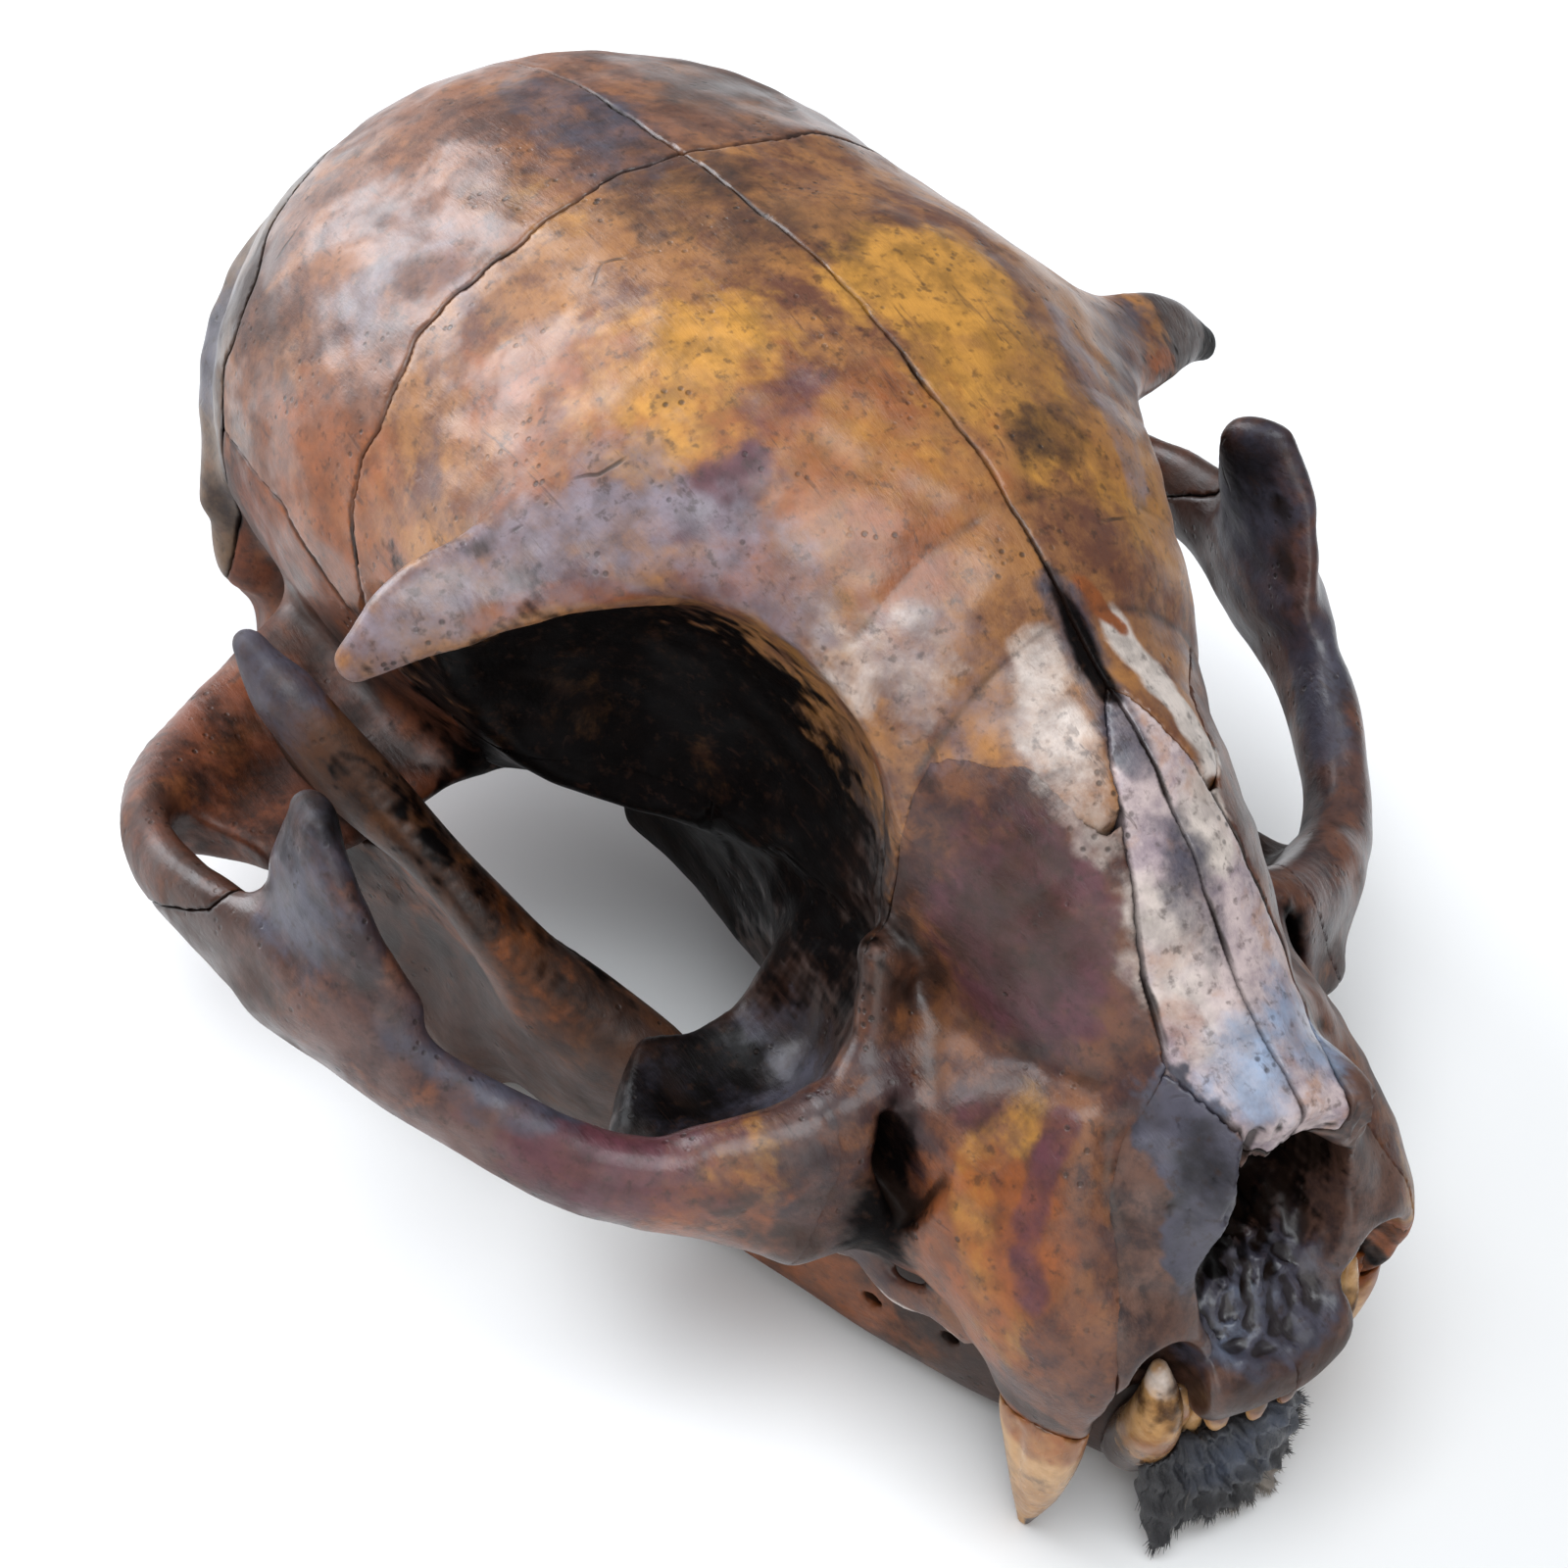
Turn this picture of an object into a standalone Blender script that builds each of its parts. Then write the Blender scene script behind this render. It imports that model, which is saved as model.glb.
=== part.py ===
"""A domestic cat's skull with its lower jaw, life size, parted at the sutures between its bones.

The skull is shaped whole from smooth masses: balls and bars that run into each other, less the hollows
of the orbits, the nose and the foramina. Thin blades along the sutures then part it into bones.

Lengths are millimetres in the skull's own frame until the bones are placed: X to the skull's left,
Y backward from the front of the upper jaw, and Z up from the level of the palate. Shapes are written
for the +X side and mirrored.
"""

import math
from dataclasses import dataclass

import bmesh
import bpy
import numpy as np
import openvdb
from mathutils import Euler, Matrix, Vector

MM = 0.001

# Driving dimensions.
SKULL_BACK = 83.5          # rear of the braincase, from the front of the upper jaw
BRAINCASE_HALF_WIDTH = 21.3
BRAINCASE_HALF_HEIGHT = 17.7
BRAINCASE_CENTRE = (0.0, 60.5, 17.8)
MUZZLE_HALF_WIDTH = 5.4
ORBIT_CENTRE = (22.4, 33.5, 18.4)
ORBIT_RADII = (14.4, 13.2, 14.6)
BULLA_RADII = (6.4, 9.4, 6.0)
JAW_CLEARANCE = 0.6        # upper skull to lower jaw, with the jaw shut
SEAM = 0.3                 # width of the gap along each suture and round each tooth
FLOOR = -10.8              # level of the upper canines' tips and the angles of the jaw
MIDDLE = 42.1              # halfway along the skull

# Fineness of the shaping.
CRANIUM_STEP = 0.8
SMALL_STEP = 0.55
CRANIUM_TRIANGLES = 3400
MANDIBLE_TRIANGLES = 540
CANINE_TRIANGLES = 120
CHIN_TRIANGLES = 160
SMALLEST_PIECE = 40        # vertices; smaller chips left by the blades are dropped

UP = (0.0, 0.0, 1.0)
BACK = (0.0, 1.0, 0.0)
SIDE = (1.0, 0.0, 0.0)


@dataclass(frozen=True)
class Ball:
    """An ellipsoid, turned by pitch about X and yaw about Z, in degrees."""

    centre: tuple
    radii: tuple
    pitch: float = 0.0
    yaw: float = 0.0

    def box(self):
        reach = max(self.radii)
        return [(value - reach, value + reach) for value in self.centre]

    def distance(self, x, y, z):
        x, y, z = x - self.centre[0], y - self.centre[1], z - self.centre[2]
        sine, cosine = math.sin(math.radians(self.yaw)), math.cos(math.radians(self.yaw))
        x, y = x * cosine + y * sine, y * cosine - x * sine
        sine, cosine = math.sin(math.radians(self.pitch)), math.cos(math.radians(self.pitch))
        y, z = y * cosine + z * sine, z * cosine - y * sine
        return ellipsoid_distance((x, y, z), self.radii)


@dataclass(frozen=True)
class Bar:
    """A bar of oval section along a spline.

    Each station is (x, y, z, half width, half thickness). The width lies along `wide`, which is one
    direction, or one for each station.
    """

    stations: tuple
    wide: tuple = UP
    steps: int = 12

    def samples(self):
        stations = np.asarray(self.stations, float)
        wide = np.broadcast_to(np.asarray(self.wide, float), (len(stations), 3))
        return spline(np.hstack([stations, wide]), self.steps)

    def box(self):
        samples = self.samples()
        reach = samples[:, 3:5].max(axis=1)
        return [((samples[:, i] - reach).min(), (samples[:, i] + reach).max()) for i in range(3)]

    def distance(self, x, y, z):
        samples = self.samples()
        nearest = None
        for start, end in zip(samples[:-1], samples[1:]):
            found = self.segment_distance(start, end, x, y, z)
            nearest = found if nearest is None else np.minimum(nearest, found)
        return nearest

    @staticmethod
    def segment_distance(start, end, x, y, z):
        run = end[:3] - start[:3]
        length = np.linalg.norm(run)
        along = run / length
        wide = (start[5:] + end[5:]) / 2
        wide = wide - along * (wide @ along)
        wide /= np.linalg.norm(wide)
        thick = np.cross(along, wide)
        x, y, z = x - start[0], y - start[1], z - start[2]
        part = np.clip((x * along[0] + y * along[1] + z * along[2]) / length, 0, 1)
        x, y, z = x - run[0] * part, y - run[1] * part, z - run[2] * part
        half_width = start[3] + (end[3] - start[3]) * part
        half_thick = start[4] + (end[4] - start[4]) * part
        offset = [x * axis[0] + y * axis[1] + z * axis[2] for axis in (wide, thick, along)]
        return ellipsoid_distance(offset, (half_width, half_thick, np.minimum(half_width, half_thick)))


@dataclass(frozen=True)
class Flat:
    """A half space that ends at a point and a normal: solid where the normal points away."""

    point: tuple
    normal: tuple

    def box(self):
        return [(-200.0, 200.0)] * 3

    def distance(self, x, y, z):
        normal = np.asarray(self.normal) / np.linalg.norm(self.normal)
        offset = (x - self.point[0], y - self.point[1], z - self.point[2])
        return sum(value * share for value, share in zip(offset, normal))


class Mass:
    """A smooth solid on a grid: each point holds about its distance to the surface, negative inside."""

    def __init__(self, step):
        self.step = step
        low, high = (step / 2, -4.0, -14.0), (37.0, 90.0, 40.0)
        self.axes = [np.arange(a, b, step, dtype=np.float32) for a, b in zip(low, high)]
        self.field = np.full([len(axis) for axis in self.axes], 50.0, np.float32)

    def near(self, shape, blend):
        """Return the part of the grid near a shape, and the shape's distances there."""
        reach = blend + 2 * self.step + 1.0
        part = tuple(slice(*np.searchsorted(axis, (low - reach, high + reach)))
                     for axis, (low, high) in zip(self.axes, shape.box()))
        x, y, z = (axis[cut] for axis, cut in zip(self.axes, part))
        return part, shape.distance(x[:, None, None], y[None, :, None], z[None, None, :]).astype(np.float32)

    def add(self, shape, blend=1.0):
        part, distance = self.near(shape, blend)
        self.field[part] = smooth_minimum(self.field[part], distance, blend)

    def cut(self, shape, blend=1.0):
        part, distance = self.near(shape, blend)
        self.field[part] = -smooth_minimum(-self.field[part], distance, blend)

    def keep_clear_of(self, other, gap):
        self.field = np.maximum(self.field, gap - other.field)

    def both_sides(self):
        """Return the field mirrored to both sides, and its first grid point."""
        first = (-self.axes[0][-1], self.axes[1][0], self.axes[2][0])
        return np.concatenate([self.field[::-1], self.field]), first

    def one_side(self):
        return self.field, tuple(axis[0] for axis in self.axes)


def ellipsoid_distance(offset, radii):
    """Return about the distance from an ellipsoid's surface at an offset from its centre."""
    scaled = np.sqrt(sum((value / radius) ** 2 for value, radius in zip(offset, radii)))
    slope = np.sqrt(sum((value / radius ** 2) ** 2 for value, radius in zip(offset, radii)))
    return scaled * (scaled - 1) / np.maximum(slope, 1e-6)


def smooth_minimum(a, b, blend):
    """Return the lesser of two fields, run into each other over a blend width."""
    if blend <= 0:
        return np.minimum(a, b)
    overlap = np.maximum(blend - np.abs(a - b), 0) / blend
    return np.minimum(a, b) - overlap * overlap * blend / 4


def spline(rows, count):
    """Return `count` rows along a Catmull-Rom spline through the rows given."""
    rows = np.vstack([2 * rows[0] - rows[1], rows, 2 * rows[-1] - rows[-2]])
    place = np.linspace(0, len(rows) - 3, count)
    index = np.minimum(place.astype(int), len(rows) - 4)
    t = (place - index)[:, None]
    a, b, c, d = (rows[index + i] for i in range(4))
    square, cube = 2 * a - 5 * b + 4 * c - d, 3 * b - a - 3 * c + d
    return 0.5 * (2 * b + (c - a) * t + square * t ** 2 + cube * t ** 3)


def add_braincase(skull):
    """The round braincase, its flat rear, and the low crest across the back."""
    x, y, z = BRAINCASE_CENTRE
    skull.add(Ball(BRAINCASE_CENTRE, (BRAINCASE_HALF_WIDTH, 21.8, BRAINCASE_HALF_HEIGHT)), 0)
    skull.add(Ball((x, y - 12.5, z + 3.7), (19.0, 16.5, 15.2)), 6)
    skull.add(Ball((x, y + 10.0, z - 2.8), (17.8, 12.0, 14.5)), 6)
    skull.cut(Flat((0, SKULL_BACK, 12), (0, -1, -0.1)), 3)
    crest = ((18.3, 73.5, 9, 1.2, 1.2), (14.5, 79, 15.5, 1.4, 1),
             (8, 81.8, 19.5, 1.4, 1), (0, 83, 21.5, 1.6, 1.1))
    skull.add(Bar(crest, (0.2, 0.5, 0.8), 8), 2.5)


def add_face(skull):
    """The forehead, the muzzle with the bulge over each canine root, and the palate."""
    forehead = ((0, 20, 18, 7, 8), (0, 28, 21, 9.5, 10), (0, 36, 23, 15.5, 12.4), (0, 44, 23, 19.5, 12.8))
    skull.add(Bar(forehead, SIDE, 8), 5)
    bridge = ((0, 6, 11.5, MUZZLE_HALF_WIDTH, 6.8), (0, 15, 14.5, 6.8, 8.4), (0, 23, 18.5, 8, 10))
    skull.add(Bar(bridge, SIDE, 7), 4)
    cheek = ((6.8, 5, 4.5, 4, 4), (8.1, 12, 5.5, 5.4, 4.8), (9, 18, 6, 6.6, 5.4), (8.8, 26.4, 5.4, 5.6, 4.8))
    skull.add(Bar(cheek, UP, 8), 4)
    canine_bulge = ((9.1, 6.2, 0.5, 3.2, 2.3), (9, 8.2, 6, 3.3, 2.2), (7.9, 12, 13, 3, 1.9))
    skull.add(Bar(canine_bulge, (0.2, 1, 0), 7), 2.5)
    incisor_arch = ((6, 3.6, 2.2, 2.2, 1.8), (4, 1.6, 2, 2, 1.8), (0, 0.9, 2, 2, 1.8))
    skull.add(Bar(incisor_arch, UP, 6), 2)
    nostril_edge = ((6.4, 4.4, 3, 1.8, 1.3), (6.1, 5.2, 8, 1.6, 1.2), (5.4, 7, 14, 1.6, 1.2))
    skull.add(Bar(nostril_edge, BACK, 6), 1.5)
    palate = ((0, 22, 8, 7.7, 7), (0, 31, 8, 8.3, 7.1), (0, 39, 8.5, 7.2, 7.4), (0, 52, 9.2, 6.4, 7))
    skull.add(Bar(palate, SIDE, 6), 4)


def cut_orbits(skull):
    """The hollow of each orbit, which is open below and behind."""
    x, y, z = ORBIT_CENTRE
    skull.cut(Ball(ORBIT_CENTRE, ORBIT_RADII), 1.2)
    skull.cut(Ball((x - 1.4, y - 3.0, z + 1.6), (13.3, 12.0, 13.3)), 1.2)


def add_cheekbones(skull):
    """The horns above the orbits, the cheek arches, and the shelf over the jaw joint."""
    brow_horn = ((13, 42, 29.2, 3.6, 1.5), (18.5, 43.6, 28.2, 3, 1.2),
                 (23.6, 44.8, 26.4, 2.2, 1), (27, 45.2, 24.2, 1, 0.8))
    lean = ((0, 1, 0.1), (0, 1, 0.2), (0.3, 0.8, 0.4), (0.3, 0.6, 0.5))
    skull.add(Bar(brow_horn, lean, 10), 2)
    orbit_floor = ((13, 21, 4.6, 7, 3), (15.5, 24.5, 4.4, 6.4, 2.4), (19.5, 28, 3.6, 4.8, 1.6))
    skull.add(Bar(orbit_floor, BACK, 7), 1.5)
    arch = ((12.5, 18.5, 7.5, 4.6, 2.4), (18.5, 20.4, 6.4, 3.4, 2.2), (24, 24, 6.2, 2.6, 2),
            (28.3, 30, 7, 2.7, 1.7), (31.3, 37, 7.8, 3.3, 1.6), (33.2, 45, 8, 3.1, 1.6),
            (33.6, 51.5, 7, 2.3, 1.5), (31.6, 56.5, 6, 2, 1.7), (25, 59.8, 5, 1.9, 3.2),
            (17, 61.8, 6, 2.2, 4.6))
    tilt = [(0.1, 0, 1)] * 7 + [(0, -0.3, 1)] + [(0, -0.4, 1)] * 2
    skull.add(Bar(arch, tuple(tilt), 34), 2)
    arch_horn = ((31.3, 38, 9.4, 4.8, 1.5), (31.2, 40.8, 14.5, 4, 1.4), (30.6, 42.4, 18, 2.3, 1.1))
    twist = ((0.35, 1, 0.1), (0, 1, 0), (-0.35, 1, 0))
    skull.add(Bar(arch_horn, twist, 9), 2.5)
    shelf = ((17, 57, 5.6, 7, 2.2), (24, 55.2, 4.8, 6, 1.6), (29.5, 54.2, 4.8, 4.4, 1.3))
    skull.add(Bar(shelf, (0, 1, -0.2), 6), 2)


def add_underside(skull):
    """The ear capsules, the knobs behind them, the wings of the throat and the neck's two condyles."""
    skull.add(Ball((12, 64.5, 1.5), BULLA_RADII, yaw=-12), 1.2)
    skull.cut(Ball((20, 64.5, 4), (6, 2.2, 2.2)), 0.8)
    skull.add(Bar(((17, 72.5, 6, 3, 2.2), (15, 75.5, 0.5, 1.6, 1.2)), UP, 4), 2)
    throat_wing = ((6.6, 34, 4.6, 3.4, 1.2), (6.2, 43, 3.6, 3.3, 0.8), (6.4, 48, 2.2, 2.2, 0.7))
    skull.add(Bar(throat_wing, UP, 7), 1.2)
    throat = ((0, 40, 1, 4.6, 3.2), (0, 49, 1, 4.6, 3), (0, 55, 0.5, 4.6, 2.5))
    skull.cut(Bar(throat, SIDE, 5), 1)
    skull.cut(Ball((0, 20, -5.6), (9, 26, 5.2)), 0.8)
    skull.add(Ball((5.2, 81.5, 6), (3.2, 3.6, 5)), 1)
    skull.cut(Ball((0, 81, 9.6), (6, 9, 5)), 0.8)


def cut_nose(skull):
    """The slanted nose opening and its passage, the notch for the lower canine, and the cheek foramen."""
    skull.cut(Ball((0, -3.2, 12.5), (7.6, 7.4, 10), pitch=-20), 1)
    skull.cut(Bar(((0, 1, 8.4, 4.9, 5), (0, 7, 10.6, 5, 5.4), (0, 15, 12.5, 4.3, 4.4)), SIDE, 6), 0.5)
    skull.add(Bar(((0, 3, 1.8, 5.5, 1.5), (0, 12, 1.9, 7, 1.6), (0, 24, 2.4, 8, 2)), SIDE, 5), 0.8)
    skull.cut(Ball((6.6, 1.6, 2), (2.4, 2.6, 5)), 1)
    cheek_foramen = ((13.4, 13.2, 6.2, 3.2, 1), (13.7, 18, 7.2, 3.2, 1), (15.6, 26, 9.6, 3, 1.4))
    skull.cut(Bar(cheek_foramen, UP, 4), 0.8)


def shape_cranium(step):
    skull = Mass(step)
    for build in (add_braincase, add_face, cut_orbits, add_cheekbones, add_underside, cut_nose):
        build(skull)
    return skull


def shape_mandible(step, cranium):
    """One half of the lower jaw: body, coronoid blade, condyle and angle."""
    jaw = Mass(step)
    body = ((2.4, 4.4, -5.6, 3.4, 2.6), (5, 9, -5.5, 4, 2.3), (8.4, 16, -5.2, 4.6, 2.2),
            (11.8, 25, -4.8, 5, 2.2), (15, 35, -4.2, 5.2, 2.1), (18, 44, -2.8, 5.8, 1.8))
    jaw.add(Bar(body, UP, 20), 0)
    blade = ((16.2, 36.5, -3, 5, 1.8), (20.2, 45.5, 1, 8, 1.4), (23.2, 52, 7.5, 5.8, 1.2),
             (25, 55.5, 12, 3.2, 1), (25.9, 56.8, 14.9, 1.3, 0.8))
    lean = ((0, 1, -0.6), (0, 1, -0.5), (0, 1, -0.4), (0, 1, -0.2), (0, 1, 0))
    jaw.add(Bar(blade, lean, 16), 3)
    condyle = ((17, 56.6, 0.4, 2, 1.9), (20.5, 56.2, 0.6, 2.2, 2.1), (24.6, 55.6, 0.6, 1.8, 1.6))
    jaw.add(Bar(condyle, UP, 5), 1.5)
    jaw.add(Bar(((20.5, 48, -1, 5, 1.6), (21.3, 53, -0.4, 3.4, 1.6)), UP, 4), 2)
    angle = ((18.5, 44, -6.6, 3.8, 1.9), (19.3, 51, -8.6, 2.2, 1.6), (19, 57, -9.2, 1.5, 1.2))
    jaw.add(Bar(angle, UP, 6), 2)
    jaw.cut(Flat((SEAM / 2, 0, 0), SIDE), 0)
    jaw.keep_clear_of(cranium, JAW_CLEARANCE)
    return jaw


def shape_upper_canine(step, cranium):
    tooth = Mass(step)
    crown = ((9.4, 6.4, 2.5, 2.5, 2), (9.8, 5.6, -2, 2.3, 1.75),
             (9.8, 4.9, -6, 1.6, 1.3), (9.5, 5.1, -10.35, 0.45, 0.45))
    tooth.add(Bar(crown, BACK, 12), 0)
    tooth.keep_clear_of(cranium, SEAM)
    return tooth


def shape_lower_canine(step, cranium, mandible):
    tooth = Mass(step)
    crown = ((4.4, 4.2, -6, 2, 1.7), (5.1, 2.8, -2.5, 1.9, 1.5),
             (5.9, 2.3, 1, 1.2, 1), (6.3, 2.7, 3.6, 0.45, 0.45))
    tooth.add(Bar(crown, BACK, 10), 0)
    tooth.keep_clear_of(cranium, SEAM)
    tooth.keep_clear_of(mandible, SEAM)
    return tooth


def shape_chin_skin(step, mandible, lower_canine):
    """The flap of dried skin in front of the chin, which hangs lower on the skull's right."""
    stations = ((-4.4, 2.2, -7.8, 2.6, 0.8), (-3, 0.9, -7.6, 2.8, 0.9), (-0.5, 0.1, -7.2, 2.8, 0.9),
                (1.8, 0.2, -6.8, 2.9, 0.9), (3.2, 0.9, -6, 2.4, 0.8))
    halves = []
    for side in (-1, 1):
        half = Mass(step)
        half.add(Bar(tuple((side * x, *rest) for x, *rest in stations), UP, 14), 0)
        half.keep_clear_of(mandible, SEAM)
        half.keep_clear_of(lower_canine, SEAM)
        halves.append(half)
    right, left = halves
    return np.concatenate([right.field[::-1], left.field]), left.both_sides()[1]


@dataclass(frozen=True)
class Blade:
    """A sheet as thick as a suture: a line in one plane, pushed across it.

    `across` names the axis it is pushed along; the line's points hold the other two coordinates in
    order. `sides` says how the blade treats the other side: "one" leaves it, "twin" repeats the blade
    there, and "through" starts from the mirrored line and runs through the middle.
    """

    across: str
    line: tuple
    span: tuple
    sides: str = "twin"

    def full_line(self):
        if self.sides != "through":
            return self.line
        return tuple((-first, second) for first, second in reversed(self.line[1:])) + self.line

    def point(self, pair, level):
        first, second = pair
        spread = {"X": (level, first, second), "Y": (first, level, second), "Z": (first, second, level)}
        return Vector(spread[self.across])


BLADES = {
    "midline_of_face": Blade("Z", ((0, -3), (0, 24)), (-4, 40), "one"),
    "midline_of_vault": Blade("Z", ((0, 22), (0, 79.7)), (12.8, 40), "one"),
    "front_floor": Blade("X", ((21, 12.9), (49.7, 12.9)), (-19, 19), "one"),
    "rear_floor": Blade("X", ((47, 12.9), (79.6, 12.9)), (-10, 10), "one"),
    "coronal": Blade("X", ((59.5, 41), (58.8, 33), (57, 25), (54.6, 18.5), (54, 15.7)), (-24, 24), "one"),
    "coronal_deep": Blade("X", ((54.2, 16.5), (53, 12.7)), (-10, 10), "one"),
    "lambdoid": Blade(
        "Z", ((0, 79.5), (8, 79), (12, 77), (15.5, 74), (22.5, 68.5)), (-9, 40), "through"),
    "squamosal": Blade(
        "X", ((49.4, 12.9), (55, 16.3), (62, 18.8), (70, 17), (77, 12.5), (80, 11)), (9.8, 24)),
    "temporal_front": Blade("X", ((49.6, -8), (49.6, 14)), (4.9, 20)),
    "temporal_inner": Blade("Y", ((5, -8), (5, 4.5), (10, 8), (10, 19.2)), (49.5, 79.4)),
    "nasion": Blade(
        "Z", ((0, 25), (3.4, 22), (5.5, 22), (8, 24.8), (10.5, 24), (14.5, 19.5)), (12.8, 40), "through"),
    "nasal_side": Blade("Z", ((4.4, 3), (4.8, 10), (4.4, 16), (3.4, 22.1)), (15, 40)),
    "nasal_floor": Blade("X", ((3, 15.6), (16, 16.2), (26, 18.6)), (-4.9, 4.9), "one"),
    "incisive": Blade("Z", ((4.3, 8.5), (6.3, 6.2), (7, 4.6), (9.5, 1.5)), (-4, 40)),
    "incisive_floor": Blade("Z", ((0, 9.5), (4.2, 8.6), (5.2, 7.6)), (-4, 16), "through"),
    "palatine": Blade("Z", ((0, 24), (6.4, 24.6), (7.9, 28), (8.6, 33), (9.5, 38)), (-4, 13), "through"),
    "cheek": Blade("Y", ((14.6, 13), (16, 9), (18.4, 3), (19.6, -1.5)), (13, 36)),
    "arch": Blade("X", ((45, 13), (45.6, 10.2), (49, 7.6), (52, 5), (53, 2.5)), (30.8, 37)),
}


@dataclass(frozen=True)
class Bone:
    """A bone's place in the parted skull and its finish: a point near its middle, and its colour."""

    middle: tuple
    colour: tuple
    roughness: float
    paired: bool = True


BONES = {
    "nasal": Bone((2.3, 14, 20), (0.42, 0.30, 0.22), 0.38),
    "premaxilla": Bone((4.5, 4, 5), (0.10, 0.10, 0.13), 0.30),
    "maxilla": Bone((8, 16, 9), (0.36, 0.18, 0.08), 0.40),
    "zygomatic": Bone((29, 35, 9), (0.21, 0.14, 0.13), 0.38),
    "frontal": Bone((10, 42, 26), (0.50, 0.28, 0.09), 0.36),
    "parietal": Bone((12, 68, 25), (0.38, 0.21, 0.12), 0.36),
    "temporal": Bone((18, 61, 6), (0.30, 0.16, 0.09), 0.40),
    "occipital": Bone((0, 82, 12), (0.20, 0.17, 0.19), 0.45, False),
    "sphenoid": Bone((0, 50, 6), (0.12, 0.07, 0.05), 0.50, False),
}
MANDIBLE = Bone((15, 35, -3), (0.40, 0.21, 0.08), 0.40)
CANINE = Bone((9.5, 5, -4), (0.76, 0.55, 0.33), 0.30)
CHIN_SKIN = Bone((0, 1, -7), (0.03, 0.03, 0.04), 0.55, False)


def new_object(name, mesh):
    obj = bpy.data.objects.new(name, mesh)
    bpy.context.scene.collection.objects.link(obj)
    return obj


def object_from(name, mesh_editor):
    """Turn a bmesh into an object, with its faces turned outward."""
    bmesh.ops.recalc_face_normals(mesh_editor, faces=mesh_editor.faces)
    mesh = bpy.data.meshes.new(name)
    mesh_editor.to_mesh(mesh)
    mesh_editor.free()
    return new_object(name, mesh)


def apply_modifiers(obj):
    """Replace an object's mesh by what its modifiers make of it."""
    graph = bpy.context.evaluated_depsgraph_get()
    done = bpy.data.meshes.new_from_object(obj.evaluated_get(graph))
    obj.modifiers.clear()
    obj.data = done


def skin(name, field, first, step, triangles):
    """Mesh a field's surface and bring it down to about a number of triangles."""
    grid = openvdb.FloatGrid(50.0)
    grid.copyFromArray(np.ascontiguousarray(field))
    points, _, quads = grid.convertToPolygons(isovalue=0.0, adaptivity=0.0)
    mesh = bpy.data.meshes.new(name)
    mesh.from_pydata((points * step + first).tolist(), [], quads.tolist())
    editor = bmesh.new()
    editor.from_mesh(mesh)
    bmesh.ops.triangulate(editor, faces=editor.faces)
    obj = object_from(name, editor)
    fewer = obj.modifiers.new("fewer_triangles", "DECIMATE")
    fewer.ratio = triangles / len(obj.data.polygons)
    apply_modifiers(obj)
    return obj


def sheet(blade, mirrored):
    """Build one blade as a prism: its line given thickness, then extruded across."""
    low, high = blade.span
    points = [blade.point(pair, low) for pair in blade.full_line()]
    push = blade.point((0, 0), high - low)
    left, right = [], []
    for index, point in enumerate(points):
        run = points[min(index + 1, len(points) - 1)] - points[max(index - 1, 0)]
        offset = run.cross(push).normalized() * SEAM / 2
        left.append(point + offset)
        right.append(point - offset)
    editor = bmesh.new()
    lows = [[editor.verts.new(corner) for corner in row] for row in (left, right)]
    strip = []
    for i in range(len(points) - 1):
        corners = (lows[0][i], lows[0][i + 1], lows[1][i + 1], lows[1][i])
        strip.append(editor.faces.new(corners))
    raised = bmesh.ops.extrude_face_region(editor, geom=strip, use_keep_orig=True)["geom"]
    raised = [part for part in raised if isinstance(part, bmesh.types.BMVert)]
    bmesh.ops.translate(editor, verts=raised, vec=push)
    if mirrored:
        bmesh.ops.scale(editor, vec=(-1, 1, 1), verts=editor.verts)
    return editor


def blade_object(name, blade):
    """Build a blade, with its twin on the other side if it has one."""
    editor = sheet(blade, False)
    if blade.sides == "twin":
        twin = bpy.data.meshes.new(name)
        other = sheet(blade, True)
        other.to_mesh(twin)
        other.free()
        editor.from_mesh(twin)
    return object_from(name, editor)


def part_with_blades(skull):
    """Cut the skull along every suture."""
    for name, blade in BLADES.items():
        cutter = blade_object(f"blade_{name}", blade)
        cut = skull.modifiers.new(name, "BOOLEAN")
        cut.operation = "DIFFERENCE"
        cut.solver = "EXACT"
        cut.object = cutter
        apply_modifiers(skull)
        bpy.data.objects.remove(cutter)


def loose_pieces(obj):
    """Return the vertex indices of each piece of a mesh that hangs together."""
    editor = bmesh.new()
    editor.from_mesh(obj.data)
    seen = set()
    pieces = []
    for start in editor.verts:
        if start.index in seen:
            continue
        seen.add(start.index)
        piece, front = [], [start]
        while front:
            vertex = front.pop()
            piece.append(vertex.index)
            for neighbour in (edge.other_vert(vertex) for edge in vertex.link_edges):
                if neighbour.index not in seen:
                    seen.add(neighbour.index)
                    front.append(neighbour)
        pieces.append(piece)
    editor.free()
    return [piece for piece in pieces if len(piece) >= SMALLEST_PIECE]


def bone_places():
    """Return every cranial bone's name, its place and its description."""
    places = {}
    for name, bone in BONES.items():
        x, y, z = bone.middle
        if bone.paired:
            places[f"{name}_left"] = (Vector((x, y, z)), bone)
            places[f"{name}_right"] = (Vector((-x, y, z)), bone)
        else:
            places[name] = (Vector((x, y, z)), bone)
    return places


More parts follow.
